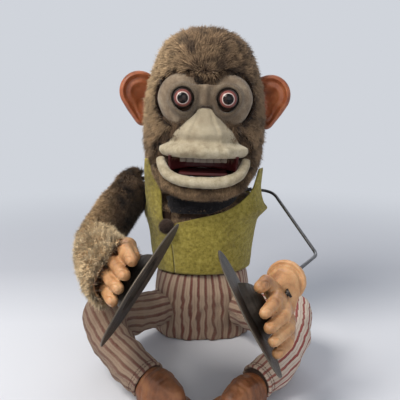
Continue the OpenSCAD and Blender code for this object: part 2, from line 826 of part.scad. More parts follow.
// Lean a hand about the line of its palm
module held(at, n, shift, lean) {
    facing(at, n) translate([0, shift, palm_k]) rotate([lean, 0, 0]) translate([0, 0, -palm_k]) children();
}

// Palm and wrist of a hand, grown by a clearance
module palm(at, n, wrist, side, shift, lean, grow) {
    held(at, n, shift, lean)
        hull() {
            for (y = [-9, 9]) translate([-9, y, palm_k]) sphere(r = 6 + grow, $fn = hand_fn);
            for (r = knuckles(side)) translate([8, r[0], r[1]]) sphere(r = finger_r + 0.2 + grow, $fn = hand_fn);
        }
    hull() {
        facing(at, n) translate([-7, shift / 2, palm_k]) rotate([90, 0, 0])
            cylinder(r = 6.4 + grow, h = 22 + 2 * grow, center = true, $fn = 20);
        translate(wrist[0]) aim(wrist[1]) cylinder(r = 11.8 + grow, h = 1, $fn = 20);
    }
}

// Moulded ring at the wrist, grown by a clearance
module cuff(wrist, grow) {
    translate(wrist[0]) aim(wrist[1]) translate([0, 0, -4.2 - grow])
        cylinder(r = cuff_r + grow, h = 5.2 + 2 * grow, $fn = 24);
}

// Thumb beside the palm, grown by a clearance
module thumb(side, y, grow) {
    hull() {
        translate([-4, side * 10, palm_k - 0.5]) sphere(r = 5.6 + grow, $fn = hand_fn);
        translate([7, side * (y - 1), palm_k - 5]) sphere(r = 4.8 + grow, $fn = hand_fn);
    }
    hull() {
        translate([7, side * (y - 1), palm_k - 5]) sphere(r = 4.8 + grow, $fn = hand_fn);
        translate([16, side * y, palm_k - 9.5]) sphere(r = 4.1 + grow, $fn = hand_fn);
    }
}

// Vinyl hand over a cymbal bell: knuckle row across, fingers forward, thumb on the upper side
module hand(at, n, wrist, side, shift, lean, thumb_y) {
    rows = knuckles(side);
    difference() {
        union() {
            palm(at, n, wrist, side, shift, lean, 0);
            held(at, n, shift, lean) {
                for (i = [0:3]) {
                    reach = finger_l - 1.6 * abs(i - 1.4);
                    hull() {
                        translate([8, rows[i][0], rows[i][1]]) sphere(r = finger_r + 0.3, $fn = hand_fn);
                        translate([8 + reach * 0.5, rows[i][0], rows[i][1] - 2.6])
                            sphere(r = finger_r, $fn = hand_fn);
                    }
                    hull() {
                        translate([8 + reach * 0.5, rows[i][0], rows[i][1] - 2.6])
                            sphere(r = finger_r, $fn = hand_fn);
                        translate([8 + reach, rows[i][0], palm_k - finger_drop])
                            sphere(r = finger_r - 0.9, $fn = hand_fn);
                    }
                }
                thumb(side, thumb_y, 0);
            }
            cuff(wrist, 0);
        }
        facing(at, n) cylinder(r = 1.7, h = 60);
        facing(at, n) translate([0, 0, bell_h + cymbal_t + 14.4 - gap]) cylinder(r = 3 + gap, h = 20);
        bar(wrist[0] - 30 * wrist[1], wrist[0] + 6.4 * wrist[1], wire_r + 0.2);
        facing(at, n)
            translate([0, 0, -20]) cylinder(d = bell_d + 1, h = 20 + cymbal_t + bell_h + gap * 0.8, $fn = 24);
    }
}

// Turn the third axis along a direction
module aim(v) {
    rotate([0, acos(v[2] / norm(v)), atan2(v[1], v[0])]) children();
}

left_wrist = [left_wire[4] - 5 * unit(left_wire[4] - left_wire[3]), unit(left_wire[4] - left_wire[3])];
right_wrist = [right_wire[3] - 5 * unit(right_wire[3] - right_wire[2]), unit(right_wire[3] - right_wire[2])];

// Right hand
module right_hand() {
    color("burlywood")
        hand(right_cymbal_at, right_cymbal_n, right_wrist, 1, right_hand_shift, right_hand_lean, right_thumb_y);
}

// Left hand
module left_hand() {
    color("burlywood")
        hand(left_cymbal_at, left_cymbal_n, left_wrist, -1, left_hand_shift, -left_hand_lean, left_thumb_y);
}

// Pressed cymbal with a flat flange and a raised bell on the hand side
module cymbal(at, n) {
    r = cymbal_d / 2;
    b = bell_d / 2;
    color("dimgray")
    facing(at, n)
        rotate_extrude($fn = 72)
            polygon([[1.6 + run, bell_h], [b * 0.45, bell_h - 0.8], [b * 0.8, bell_h * 0.66], [b, 0.6], [r, 0],
                [r, cymbal_t], [b + 0.6, 0.6 + cymbal_t], [b * 0.8 + cymbal_t, bell_h * 0.66 + 0.8],
                [b * 0.45 + 0.5, bell_h + cymbal_t - 0.8], [1.6 + run, bell_h + cymbal_t]]);
}

// Right cymbal
module right_cymbal() {
    cymbal(right_cymbal_at, right_cymbal_n);
}

// Left cymbal
module left_cymbal() {
    cymbal(left_cymbal_at, left_cymbal_n);
}

// Pin through a hand and its cymbal
module cymbal_pin(at, n) {
    color("black")
    facing(at, n) {
        translate([0, 0, bell_h - 1.6]) cylinder(r = 1.6, h = cymbal_t + 17.5);
        translate([0, 0, bell_h - 2.6]) cylinder(r = 3.4, h = 1.2);
        translate([0, 0, bell_h + cymbal_t + 14.4]) cylinder(r = 3, h = 1.6);
    }
}

// Pin of the right hand
module right_cymbal_pin() {
    cymbal_pin(right_cymbal_at, right_cymbal_n);
}

// Pin of the left hand
module left_cymbal_pin() {
    cymbal_pin(left_cymbal_at, left_cymbal_n);
}

// Guide tube in the head that slides on the neck post
module neck_sleeve() {
    color("silver")
    translate([neck_at[0], neck_at[1], sleeve_bottom])
        difference() {
            union() {
                cylinder(r = neck_r + 1.8, h = neck_top - sleeve_bottom + head_travel + 2.4);
                cylinder(r = neck_r + 4, h = 1.6);
            }
            translate([0, 0, -1]) cylinder(r = neck_r + run, h = neck_top - sleeve_bottom + head_travel + 1.4);
        }
}

// Spring that lifts the head
module head_spring() {
    turns = 3;
    h = sleeve_bottom - shoulder_plate_top - 2;
    spine = [for (i = [0:turns * 14]) let (a = i * 360 / 14)
        [neck_at[0] + (neck_r + 2) * cos(a), neck_at[1] + (neck_r + 2) * sin(a),
            shoulder_plate_top + 1 + h * i / (turns * 14)]];
    color("silver") skinned(tube_rings(spine, [for (p = spine) [0.6, 0.6]], 6));
}

// Hard head under the plush
module skull() {
    color("tan")
    tilted()
        difference() {
            head_solid(hood_t + gap);
            head_solid(hood_t + gap + skull_t);
            translate([0, neck_at[1], 100]) cylinder(r = neck_r + 5, h = 50);
            for (side = [-1, 1])
                translate([side * eye_x, 0, eye_z]) rotate([90, 0, 0]) cylinder(r = eye_r + 0.4, h = 80);
            translate([-27, -80, 120]) cube([54, 72, 35]);
        }
}

// Plush hood open round the face and mouth
module head_plush() {
    color("saddlebrown")
    tilted()
        difference() {
            head_solid(0);
            head_solid(hood_t);
            translate([0, neck_at[1], 100]) cylinder(r = 22, h = 50);
            for (side = [-1, 1])
                translate([side * eye_x, 0, patch_z]) rotate([90, 0, 0]) cylinder(r = patch_r + gap, h = 80);
            translate([0, -20, 0]) rotate([90, 0, 0]) linear_extrude(height = 60)
                polygon([[-37, 152], [37, 152], [37, 163], [34.9, 164.7], [9.9, 191.9], [9.9, 214],
                    [-9.9, 214], [-9.9, 191.9], [-34.9, 164.7], [-37, 163]]);
            translate([-40, -80, 100]) cube([80, 58, 53]);
        }
}

// Moulded patch round each eye
module patch_balls(r) {
    for (side = [-1, 1]) translate([side * eye_x, patch_y, patch_z]) sphere(r = r);
}

// Grey flocked eye mask with two sockets
module eye_mask() {
    color("gray")
    tilted()
        difference() {
            union() {
                patch_balls(patch_r);
                translate([-9.7, -47, 194]) cube([19.4, 10, 15]);
            }
            head_solid(hood_t);
            for (side = [-1, 1])
                translate([side * eye_x, 0, eye_z]) rotate([90, 0, 0]) cylinder(r = eye_r + 0.4, h = 80);
        }
}

// Cream muzzle ending below in the upper lip roll
module muzzle() {
    color("cornsilk")
    tilted()
        difference() {
            hull() {
                for (side = [-1, 1]) {
                    translate([side * 29, -39, 160.5]) sphere(r = upper_lip_r, $fn = 16);
                    translate([side * 16, -49.5, 160.5]) sphere(r = upper_lip_r, $fn = 16);
                    translate([side * 6, -44, 189]) sphere(r = 3, $fn = 16);
                }
                translate([0, -52.5, 160.5]) sphere(r = upper_lip_r, $fn = 16);
            }
            head_solid(hood_t);
            patch_balls(patch_r + gap);
        }
}

// Row of upper teeth under the muzzle
module upper_teeth() {
    color("white")
    tilted()
        for (i = [-3:3])
            translate([i * 5.2, -48.5 + 0.16 * i * i * 2, 150.6])
                rotate([0, 0, i * -5]) translate([-2.4, -1.2, 0]) cube([4.8, 2.4, 4.1]);
}

// Two cupped vinyl ears
module ears() {
    color("sienna")
    tilted()
        for (side = [-1, 1])
            mirror([side < 0 ? 1 : 0, 0, 0])
                difference() {
                    translate([44.6, 5, 196]) rotate([90, 0, -14])
                        difference() {
                            linear_extrude(height = 7, center = true)
                                hull() {
                                    translate([ear_reach - 17, ear_h / 2 - 17]) circle(r = 17, $fn = 32);
                                    translate([3.5, ear_h / 2 - 9]) circle(r = 6, $fn = 24);
                                    translate([7, -ear_h / 2 + 7]) circle(r = 7, $fn = 24);
                                }
                            translate([0, 0, 0.5])
                                linear_extrude(height = 9)
                                    hull() {
                                        translate([ear_reach - 17, ear_h / 2 - 17]) circle(r = 12.5, $fn = 32);
                                        translate([9, -ear_h / 2 + 12]) circle(r = 5, $fn = 24);
                                    }
                        }
                    head_solid(-gap);
                }
}

// Plate inside the skull that guides the eye stems
module eye_guide() {
    color("silver")
    tilted()
        difference() {
            translate([-26, -26, eye_z - 8]) cube([52, 3, 16]);
            for (side = [-1, 1])
                translate([side * eye_x, 0, eye_z]) rotate([90, 0, 0]) cylinder(r = 2.5 + run, h = 80);
        }
}

// Pair of eyes on stems joined by a yoke
module eyes() {
    color("white")
    tilted() {
        for (side = [-1, 1]) {
            translate([side * eye_x, eye_y, eye_z]) sphere(r = eye_r);
            translate([side * eye_x, -12, eye_z]) rotate([90, 0, 0]) cylinder(r = 2.5, h = -eye_y - 14);
        }
        translate([-eye_x - 4, -14, eye_z - 4]) cube([2 * eye_x + 8, 3, 8]);
    }
}

// Pin the jaw turns on
module jaw_pin() {
    color("silver")
    tilted() translate([-33, jaw_y, jaw_z]) rotate([0, 90, 0]) cylinder(r = jaw_pin_r, h = 66);
}

// Red jaw floor with two hinge eyes
module jaw_frame() {
    color("maroon")
    tilted()
        difference() {
            union() {
                translate([-18.6, -46, 140.3]) cube([37.2, 28.5, 1.8]);
                for (side = [-1, 1]) {
                    translate([side * 17.2 - 1.4, -18, 140.3]) cube([2.8, 11.5, 12]);
                    translate([side * 17.2 - 1.4, jaw_y, jaw_z]) rotate([0, 90, 0]) cylinder(r = 3.6, h = 2.8);
                }
            }
            translate([-40, jaw_y, jaw_z]) rotate([0, 90, 0]) cylinder(r = jaw_pin_r + run, h = 80);
        }
}

// Cream lower lip roll
lip_line = [[-31, -41.5, 147], [-25.5, -47, 140], [-13, -51, 136.2], [0, -52.3, 135.6], [13, -51, 136.2],
    [25.5, -47, 140], [31, -41.5, 147]];

module lower_lip() {
    color("cornsilk")
    tilted()
        for (i = [0:len(lip_line) - 2])
            hull() {
                translate(lip_line[i]) sphere(r = lower_lip_r, $fn = fine);
                translate(lip_line[i + 1]) sphere(r = lower_lip_r, $fn = fine);
            }
}

// Plush chin band under the lower lip
chin_line = [[-34.5, -34.5, 142.5], [-28, -40, 132.6], [-15, -44.5, 128], [0, -46, 127.2], [15, -44.5, 128],
    [28, -40, 132.6], [34.5, -34.5, 142.5]];

module chin_plush() {
    color("saddlebrown")
    tilted()
        for (i = [0:len(chin_line) - 2])
            hull() {
                translate(chin_line[i]) sphere(r = 5.4, $fn = fine);
                translate(chin_line[i + 1]) sphere(r = 5.4, $fn = fine);
            }
}

base_box();
battery_door();
door_hinge_pin();
battery_cells();
battery_contacts();
switch_slider();
lower_plate();
frame_posts();
upper_plate();
frame_screws();
motor_can();
motor_pinion();
middle_axle();
middle_gear();
crank_gear();
crank_shaft();
shoulder_plate();
arm_bushes();
neck_post();
torso_front();
torso_back();
chest_plush();
neck_collar();
vest_right_front();
vest_left_front();
vest_back();
vest_button();
trouser_seat();
trouser_leg_right();
trouser_leg_left();
foot_right();
foot_left();
right_arm_wire();
right_lever();
right_link();
right_sleeve_upper();
right_sleeve_fore();
right_hand();
right_cymbal();
right_cymbal_pin();
left_arm_wire();
left_lever();
left_link();
left_hand();
left_cymbal();
left_cymbal_pin();
neck_sleeve();
head_spring();
skull();
head_plush();
eye_mask();
muzzle();
upper_teeth();
ears();
eye_guide();
eyes();
jaw_pin();
jaw_frame();
lower_lip();
chin_plush();
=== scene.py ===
import json
import math

import bmesh
import bpy
import numpy as np
from mathutils import Matrix, Vector, kdtree, noise


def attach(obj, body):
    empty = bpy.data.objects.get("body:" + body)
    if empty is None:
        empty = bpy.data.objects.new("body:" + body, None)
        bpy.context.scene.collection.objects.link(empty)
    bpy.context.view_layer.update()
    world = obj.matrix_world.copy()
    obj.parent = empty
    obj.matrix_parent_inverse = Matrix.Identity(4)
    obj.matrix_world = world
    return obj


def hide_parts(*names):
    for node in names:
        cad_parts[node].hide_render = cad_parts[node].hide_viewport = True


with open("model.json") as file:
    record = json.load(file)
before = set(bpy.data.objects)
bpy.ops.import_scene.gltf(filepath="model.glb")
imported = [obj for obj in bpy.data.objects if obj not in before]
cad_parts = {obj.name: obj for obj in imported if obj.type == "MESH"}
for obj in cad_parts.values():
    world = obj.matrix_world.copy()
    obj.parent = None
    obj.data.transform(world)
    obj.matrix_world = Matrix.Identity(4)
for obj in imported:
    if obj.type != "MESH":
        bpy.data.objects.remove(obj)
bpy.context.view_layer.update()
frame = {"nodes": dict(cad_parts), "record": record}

nodes = frame["nodes"]
scene = bpy.context.scene
MM = 0.001
TAU = 2 * math.pi
NECK = np.array([0, 0, 120.0])
LEAN = np.array(Matrix.Rotation(math.radians(1.8), 3, "Y"))


def tilt(points):
    """Places on an upright head, in millimetres, to the leaning head."""
    return (points - NECK) @ LEAN.T + NECK


def untilt(points):
    """Places on the leaning head back to an upright head."""
    return (points - NECK) @ LEAN + NECK


def unit(v):
    v = np.asarray(v, float)
    return v / np.maximum(np.linalg.norm(v, axis=-1, keepdims=True), 1e-9)


def xyz(x, y, z):
    """Columns or single values as rows of points."""
    return np.stack(np.broadcast_arrays(x, y, z), 1)


def turned(x, y, angle):
    c, s = math.cos(angle), math.sin(angle)
    return x * c - y * s, x * s + y * c


def ease(a, b, x):
    """0 at a, 1 at b and beyond it, eased between."""
    t = np.clip((x - a) / (b - a), 0, 1)
    return t * t * (3 - 2 * t)


def bell(x, centre, width):
    return np.exp(-(((x - centre) / width) ** 2))


def noise_at(points, scale, seed):
    """Smooth noise, about -1 to 1, at points in millimetres; scale is the size of one swell in millimetres."""
    return np.array([noise.noise(Vector(p)) for p in points / scale + seed])


def swirl(points, scale, *seeds):
    """A direction at each point that drifts from place to place."""
    return np.stack([noise_at(points, scale, s) for s in seeds], 1)


def nearest(points, path):
    return np.argmin(((points[:, None] - path[None]) ** 2).sum(2), 1)


def C(*rgb):
    """An sRGB colour, 0 to 255, as linear values."""
    return tuple(c / 12.92 if c <= 0.04045 else ((c + 0.055) / 1.055) ** 2.4 for c in (v / 255 for v in rgb))


# Materials

class Finish:
    """A node material with one principled shader."""

    def __init__(self, name, **values):
        self.m = bpy.data.materials.new(name)
        self.m.use_nodes = True
        self.t = self.m.node_tree
        self.t.nodes.clear()
        self.out = self.t.nodes.new("ShaderNodeOutputMaterial")
        self.b = self.t.nodes.new("ShaderNodeBsdfPrincipled")
        self.t.links.new(self.b.outputs[0], self.out.inputs[0])
        self.co = self.t.nodes.new("ShaderNodeTexCoord").outputs["Object"]
        for k, v in values.items():
            self.put(k.replace("_", " "), v)

    def node(self, kind, inputs=(), out=0, **settings):
        n = self.t.nodes.new("ShaderNode" + kind)
        for k, v in settings.items():
            setattr(n, k, v)
        for k, v in dict(inputs).items():
            self.feed(n.inputs[k], v)
        return n.outputs[out]

    def feed(self, socket, v):
        if isinstance(v, bpy.types.NodeSocket):
            self.t.links.new(v, socket)
        elif isinstance(v, (tuple, list)) and len(v) == 3 and socket.type == "RGBA":
            socket.default_value = (*v, 1)
        else:
            socket.default_value = v

    def put(self, name, v):
        self.feed(self.b.inputs[name], v)

    def noise(self, scale, detail=3, rough=0.55, vec=None, distort=0.0):
        return self.node("TexNoise", {"Vector": vec or self.co, "Scale": scale, "Detail": detail, "Roughness": rough,
                                      "Distortion": distort})

    def ramp(self, fac, *stops):
        n = self.t.nodes.new("ShaderNodeValToRGB")
        self.feed(n.inputs[0], fac)
        e = n.color_ramp.elements
        while len(e) > len(stops):
            e.remove(e[-1])
        while len(e) < len(stops):
            e.new(1)
        for item, (at, colour) in zip(e, stops):
            item.position = at
            item.color = (*colour, 1)
        return n.outputs[0]

    def mix(self, fac, a, b, how="MIX"):
        return self.node("Mix", {0: fac, 6: a, 7: b}, 2, data_type="RGBA", blend_type=how)

    def math(self, how, a, b=0.0):
        return self.node("Math", {0: a, 1: b}, operation=how)

    def add(self, a, b):
        return self.math("ADD", a, b)

    def times(self, a, b):
        return self.math("MULTIPLY", a, b)

    def span(self, v, a, b, c, d, **settings):
        """Takes a value between a and b to one between c and d."""
        return self.node("MapRange", enumerate((v, a, b, c, d)), **settings)

    def attr(self, name):
        return self.node("Attribute", out="Vector", attribute_name=name)

    def surface(self, what):
        return self.node("NewGeometry", out=what)

    def split(self, vec):
        return self.node("SeparateXYZ", {0: vec}, slice(None))

    def look(self, colour, height, distance, strength):
        """Takes the colour and the relief, and gives the material."""
        self.put("Base Color", colour)
        self.put("Normal", self.node("Bump", {"Strength": strength, "Distance": distance, "Height": height}))
        return self.m


def fur_finish(name, root, mid, tip, dark, dark_share=0.5, lit_side=None, upper=None, inner_shade=None):
    """Plush. lit_side is a colour and the x where it begins and is full: a painted highlight on the side the light
    falls on;
    upper the heights where it grows to full; inner_shade is a colour and where it begins and is full, in x and then in
    height: painted shade on the inner, lower side."""
    f = Finish(name, Roughness=0.72, Sheen_Weight=0.25, Sheen_Roughness=0.5, Specular_IOR_Level=0.25)
    along, own, _ = f.split(f.attr("pile"))
    across, _, height = f.split(f.co)
    patch = f.span(f.noise(85, 3, 0.6), 0.46, 0.62, 0.0, dark_share)
    tone = f.mix(patch, f.ramp(along, (0.0, root), (0.4, mid), (0.9, tip)),
                 f.ramp(along, (0.0, root), (0.7, dark), (1.0, mid)))
    # Painted highlight: the side the light falls on is lightened towards a pale colour.
    if lit_side:
        colour, start, end = lit_side
        lit_share = f.times(f.span(across, start, end, 0.0, 0.85), f.span(along, 0.1, 0.7, 0.0, 1.0))
        if upper:
            lit_share = f.times(lit_share, f.span(height, upper[0], upper[1], 0.25, 1.0))
        tone = f.mix(lit_share, tone, colour)
    # Painted shade: darkened towards the body and downwards, as if shaded by the body.
    if inner_shade:
        colour, start, end, top, full = inner_shade
        darkening = f.times(f.span(across, start, end, 0.0, 0.75), f.span(height, top, full, 0.0, 1.0))
        tone = f.mix(darkening, tone, colour)
    vary = f.times(f.span(own, 0.0, 1.0, 0.5, 1.45), 0.5)
    f.put("Base Color", f.mix(1.0, tone, f.ramp(vary, (0.0, (0, 0, 0)), (1.0, (2, 2, 2))), "MULTIPLY"))
    skin = f.node("VectorTransform", {0: f.attr("skin_normal")}, vector_type="NORMAL", convert_from="OBJECT",
                  convert_to="WORLD")
    blend = f.node("Mix", {0: 0.42, 4: skin, 5: f.surface("Normal")}, 1, data_type="VECTOR")
    f.put("Normal", f.node("VectorMath", {0: blend}, operation="NORMALIZE"))
    return f.m


def backing_finish(name, a, b):
    f = Finish(name, Roughness=0.9, Specular_IOR_Level=0.1)
    return f.look(f.ramp(f.noise(900, 4, 0.7), (0.3, a), (0.7, b)), f.noise(1500, 3), 0.0006, 0.8)


def felt_finish(name, base, light, dark, darkening):
    f = Finish(name, Roughness=0.92, Sheen_Weight=0.2, Sheen_Roughness=0.45, Specular_IOR_Level=0.08)
    fibre = f.noise(1700, 5, 0.75, f.node("Mapping", {"Vector": f.co, "Scale": (1, 1, 0.35)}), 1.5)
    pill = f.noise(330, 4, 0.65)
    wear = f.noise(42, 4, 0.6)
    tone = f.ramp(pill, (0.3, dark), (0.5, base), (0.72, light))
    tone = f.mix(f.span(fibre, 0.42, 0.66, 0.0, 0.55), tone, light)
    # Worn, soiled patches, darker.
    tone = f.mix(f.span(wear, 0.52, 0.72, 0.0, 0.5), tone, darkening)
    return f.look(tone, f.add(f.times(fibre, 0.5), f.times(pill, 0.9)), 0.0013, 0.9)


STRIPE, THREAD, STITCH, STITCH_W = 6.4, 0.62, 2.6, 0.34
SEAMS = (2.4, 4.6)


def cotton_finish(name):
    """Woven cotton; attribute weave holds the place across and along the cloth in millimetres, and the hem's inside."""
    f = Finish(name, Roughness=0.9, Sheen_Weight=0.1, Sheen_Roughness=0.5, Specular_IOR_Level=0.1)
    u, v, hem = f.split(f.attr("weave"))
    wobble = f.times(f.math("SUBTRACT", f.noise(120, 2), 0.5), 1.1)
    turn = f.math("FRACT", f.math("DIVIDE", f.add(u, wobble), STRIPE))
    cream, taupe, pale = C(170, 144, 119), C(132, 104, 86), C(242, 226, 210)
    dull = f.ramp(turn, (0.0, taupe), (0.08, C(88, 48, 42)), (0.3, C(104, 58, 51)), (0.38, C(126, 92, 76)),
                  (0.48, cream), (0.62, cream), (0.66, C(142, 110, 94)), (0.7, cream), (0.94, cream), (1.0, taupe))
    vivid = f.ramp(turn, (0.0, pale), (0.05, C(158, 56, 58)), (0.32, C(172, 66, 66)), (0.38, pale), (0.62, pale),
                   (0.66, C(194, 152, 138)), (0.72, pale), (1.0, pale))
    side = f.split(f.co)[0]
    base = f.mix(f.span(side, 0.03, 0.056, 0.12, 1.0), dull, vivid)
    warp, weft = (f.math("SINE", f.times(w, TAU / THREAD)) for w in (u, v))
    thread = f.times(warp, weft)
    for fac, colour in ((f.span(f.noise(55, 4, 0.6), 0.35, 0.7, 0.0, 0.3), C(160, 136, 114)),
                        (f.span(f.noise(18, 4, 0.65), 0.5, 0.75, 0.0, 0.35), C(112, 88, 70)),
                        (f.span(side, -0.03, -0.06, 0.0, 0.42), C(92, 68, 54)),
                        (f.span(thread, -1.0, 1.0, 0.0, 0.22), C(92, 72, 60)),
                        (f.span(f.noise(2300, 3), 0.45, 0.75, 0.0, 0.22), C(204, 190, 168))):
        base = f.mix(fac, base, colour)
    dash = f.math("GREATER_THAN", f.math("FRACT", f.math("DIVIDE", u, STITCH)), 0.22)
    for at in SEAMS:
        line = f.math("LESS_THAN", f.math("ABSOLUTE", f.math("SUBTRACT", v, at)), STITCH_W)
        base = f.mix(f.times(f.times(line, dash), 0.8), base, C(84, 52, 44))
    # Painted shade: the hem's inside is darkened.
    base = f.mix(hem, base, C(112, 88, 74))
    return f.look(base, f.add(f.times(thread, 0.35), f.noise(700, 4, 0.6)), 0.0005, 0.7)


def vinyl_finish(name, base, light, dark, rough, wrinkle):
    f = Finish(name, Subsurface_Weight=0.12, Subsurface_Scale=0.004, Specular_IOR_Level=0.42, Coat_Weight=0.08,
               Coat_Roughness=0.35)
    speck = f.noise(620, 3, 0.6)
    edge = f.surface("Pointiness")
    tone = f.ramp(f.noise(70, 5, 0.6), (0.28, dark), (0.5, base), (0.74, light))
    # Painted shade: hollows and creases, such as between the fingers, are darkened.
    tone = f.mix(f.span(edge, 0.46, 0.4, 0.0, 0.75), tone, tuple(c * 0.45 for c in dark))
    # Painted highlight: convex edges are lightened.
    tone = f.mix(f.span(edge, 0.53, 0.62, 0.0, 0.45), tone, light)
    tone = f.mix(f.span(speck, 0.6, 0.75, 0.0, 0.3), tone, dark)
    f.put("Roughness", f.span(f.noise(140, 4), 0.3, 0.7, rough - 0.08, rough + 0.16))
    lines = f.noise(420, 4, 0.6, None, 2.0)
    return f.look(tone, f.add(lines, f.times(speck, 0.5)), 0.0006, wrinkle)


def flock_finish(name, base, light, dark, darkening, above=None, deep=None):
    """Flocked vinyl; above gives two heights and the colour past them, deep the colour of painted shade, laid on by the
    mesh's socket_shade attribute.
    """
    f = Finish(name, Roughness=0.92, Sheen_Weight=0.2, Sheen_Roughness=0.4, Specular_IOR_Level=0.08)
    nap = f.noise(1500, 4, 0.7)
    patchy = f.noise(130, 5, 0.65)
    edge = f.surface("Pointiness")
    tone = f.ramp(patchy, (0.3, dark), (0.5, base), (0.7, light))
    if above:
        low, high, colour = above
        tone = f.mix(f.span(f.split(f.co)[2], low, high, 0.0, 0.75), tone, colour)
    if deep:
        # Painted shade: darkest in the sockets round the eyes, as the mesh's attribute gives it.
        tone = f.mix(f.split(f.attr("socket_shade"))[0], tone, deep)
    tone = f.mix(f.span(nap, 0.4, 0.7, 0.0, 0.4), tone, light)
    # Soil in random patches.
    tone = f.mix(f.span(f.noise(36, 4, 0.6), 0.5, 0.72, 0.0, 0.55), tone, darkening)
    # Painted shade: hollows and creases are darkened with half the soil colour.
    tone = f.mix(f.span(edge, 0.47, 0.4, 0.0, 0.8), tone, tuple(c * 0.5 for c in darkening))
    return f.look(tone, f.add(nap, f.times(patchy, 0.6)), 0.0007, 0.8)


def metal_finish(name, base, dark, rough, scratch, tarnish):
    f = Finish(name, Metallic=1.0)
    blot = f.noise(95, 5, 0.65)
    fine = f.noise(scratch, 3, 0.6)
    f.put("Roughness", f.span(f.add(f.times(fine, 0.5), f.times(blot, 0.5)), 0.3, 0.7, rough - 0.08, rough + 0.18))
    return f.look(f.mix(f.span(blot, 0.42, 0.68, 0.0, tarnish), base, dark), fine, 0.0002, 0.35)


def cymbal_finish(name):
    """Spun sheet steel; attribute spun holds the radius in millimetres."""
    f = Finish(name, Metallic=0.75, Anisotropic=0.3)
    r = f.split(f.attr("spun"))[0]
    groove = f.math("SINE", f.times(f.add(r, f.times(f.noise(60, 2), 0.4)), 4.2))
    rust = f.noise(240, 5, 0.7)
    tone = f.ramp(f.noise(75, 5, 0.65), (0.28, C(38, 33, 29)), (0.5, C(60, 53, 46)), (0.75, C(88, 78, 67)))
    tone = f.mix(f.span(rust, 0.58, 0.72, 0.0, 0.55), tone, C(70, 52, 40))
    tone = f.mix(f.span(r, 42.2, 43.8, 0.0, 0.55), tone, C(124, 114, 100))
    f.put("Roughness", f.span(f.add(f.times(rust, 0.7), f.times(groove, 0.1)), 0.2, 0.7, 0.44, 0.68))
    return f.look(tone, f.add(f.times(groove, 0.3), f.noise(320, 4)), 0.00025, 0.55)


def plastic_finish(name, base, dark, rough):
    f = Finish(name, Specular_IOR_Level=0.45)
    f.put("Roughness", f.span(f.noise(240, 4), 0.3, 0.7, rough - 0.1, rough + 0.15))
    return f.look(f.ramp(f.noise(60, 4, 0.6), (0.3, dark), (0.7, base)), f.noise(1400, 2), 0.0002, 0.4)


def eye_finish(name):
    """Painted ball eye; attribute gaze holds the distance from the middle of the pupil in millimetres."""
    f = Finish(name, Roughness=0.14, Coat_Weight=0.06, Coat_Roughness=0.05, Specular_IOR_Level=0.2)
    r = f.add(f.split(f.attr("gaze"))[0], f.times(f.math("SUBTRACT", f.noise(500, 2), 0.5), 0.25))
    # The outer bands, darkening from about 0.73 to near black, are painted shade of the socket round the eye.
    bands = f.ramp(f.math("DIVIDE", r, 10.0), (0.0, C(6, 5, 6)), (0.41, C(8, 7, 7)), (0.44, C(208, 192, 182)),
                   (0.5, C(182, 150, 142)), (0.55, C(116, 56, 51)), (0.68, C(128, 76, 69)), (0.73, C(78, 42, 38)),
                   (0.78, C(36, 26, 24)), (1.0, C(22, 17, 15)))
    f.put("Base Color", f.mix(f.span(f.noise(260, 4, 0.6), 0.5, 0.75, 0.0, 0.25), bands, C(120, 90, 80)))
    return f.m


# Mesh helpers

def place(name, data):
    o = bpy.data.objects.new(name, data)
    scene.collection.objects.link(o)
    return o


def add_mesh(name, verts, faces, finish=None, smooth=True):
    me = bpy.data.meshes.new(name)
    me.from_pydata([tuple(v) for v in verts], [], faces)
    me.update()
    o = place(name, me)
    if smooth:
        me.polygons.foreach_set("use_smooth", np.ones(len(me.polygons), bool))
    if finish:
        me.materials.append(finish)
    return o


def read_vertices(o, what):
    out = np.zeros(len(o.data.vertices) * 3, np.float32)
    o.data.vertices.foreach_get(what, out)
    return out.reshape(-1, 3).astype(float)


def points_of(o):
    return read_vertices(o, "co") * 1000


def normals_of(o):
    return read_vertices(o, "normal")


def move_points(o, mm):
    o.data.vertices.foreach_set("co", (mm * MM).astype(np.float32).ravel())
    o.data.update()


def swollen(o, amount):
    """A mesh's points moved along their normals by an amount in millimetres."""
    return points_of(o) + normals_of(o) * np.reshape(amount, (-1, 1))


def set_vector(o, name, values):
    a = o.data.attributes.new(name, "FLOAT_VECTOR", "POINT")
    a.data.foreach_set("vector", values.astype(np.float32).ravel())


def bake_modifiers(o):
    me = bpy.data.meshes.new_from_object(o.evaluated_get(bpy.context.evaluated_depsgraph_get()))
    old = o.data
    o.modifiers.clear()
    o.data = me
    bpy.data.meshes.remove(old)
    me.polygons.foreach_set("use_smooth", np.ones(len(me.polygons), bool))
    return o


def modify(o, kind, **settings):
    m = o.modifiers.new(kind.lower(), kind)
    for k, v in settings.items():
        setattr(m, k, v)


def soft_copy(name, node, voxel, smooth):
    """A smooth closed copy of a CAD node's form, ready for its own detail."""
    me = nodes[node].data.copy()
    me.name = name
    me.materials.clear()
    o = place(name, me)
    modify(o, "WELD", merge_threshold=1e-6)
    modify(o, "REMESH", mode="VOXEL", voxel_size=voxel * MM)
    modify(o, "SMOOTH", factor=0.5, iterations=smooth)
    return bake_modifiers(o)


def face_outward(o):
    bm = bmesh.new()
    bm.from_mesh(o.data)
    bmesh.ops.recalc_face_normals(bm, faces=bm.faces)
    bm.to_mesh(o.data)
    bm.free()


def settle(o, body, slot, finish, *replaced):
    if finish:
        o.data.materials.clear()
        o.data.materials.append(finish)
    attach(o, body)
    if replaced:
        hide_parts(*replaced)


def stuffed(name, node, body, voxel, inset, smooth=4):
    """The backing of a plush piece, drawn in to leave room for its pile."""
    o = soft_copy(name, node, voxel, smooth)
    move_points(o, swollen(o, -inset))
    settle(o, body, "brown_plush", fur_skin, node)
    return o


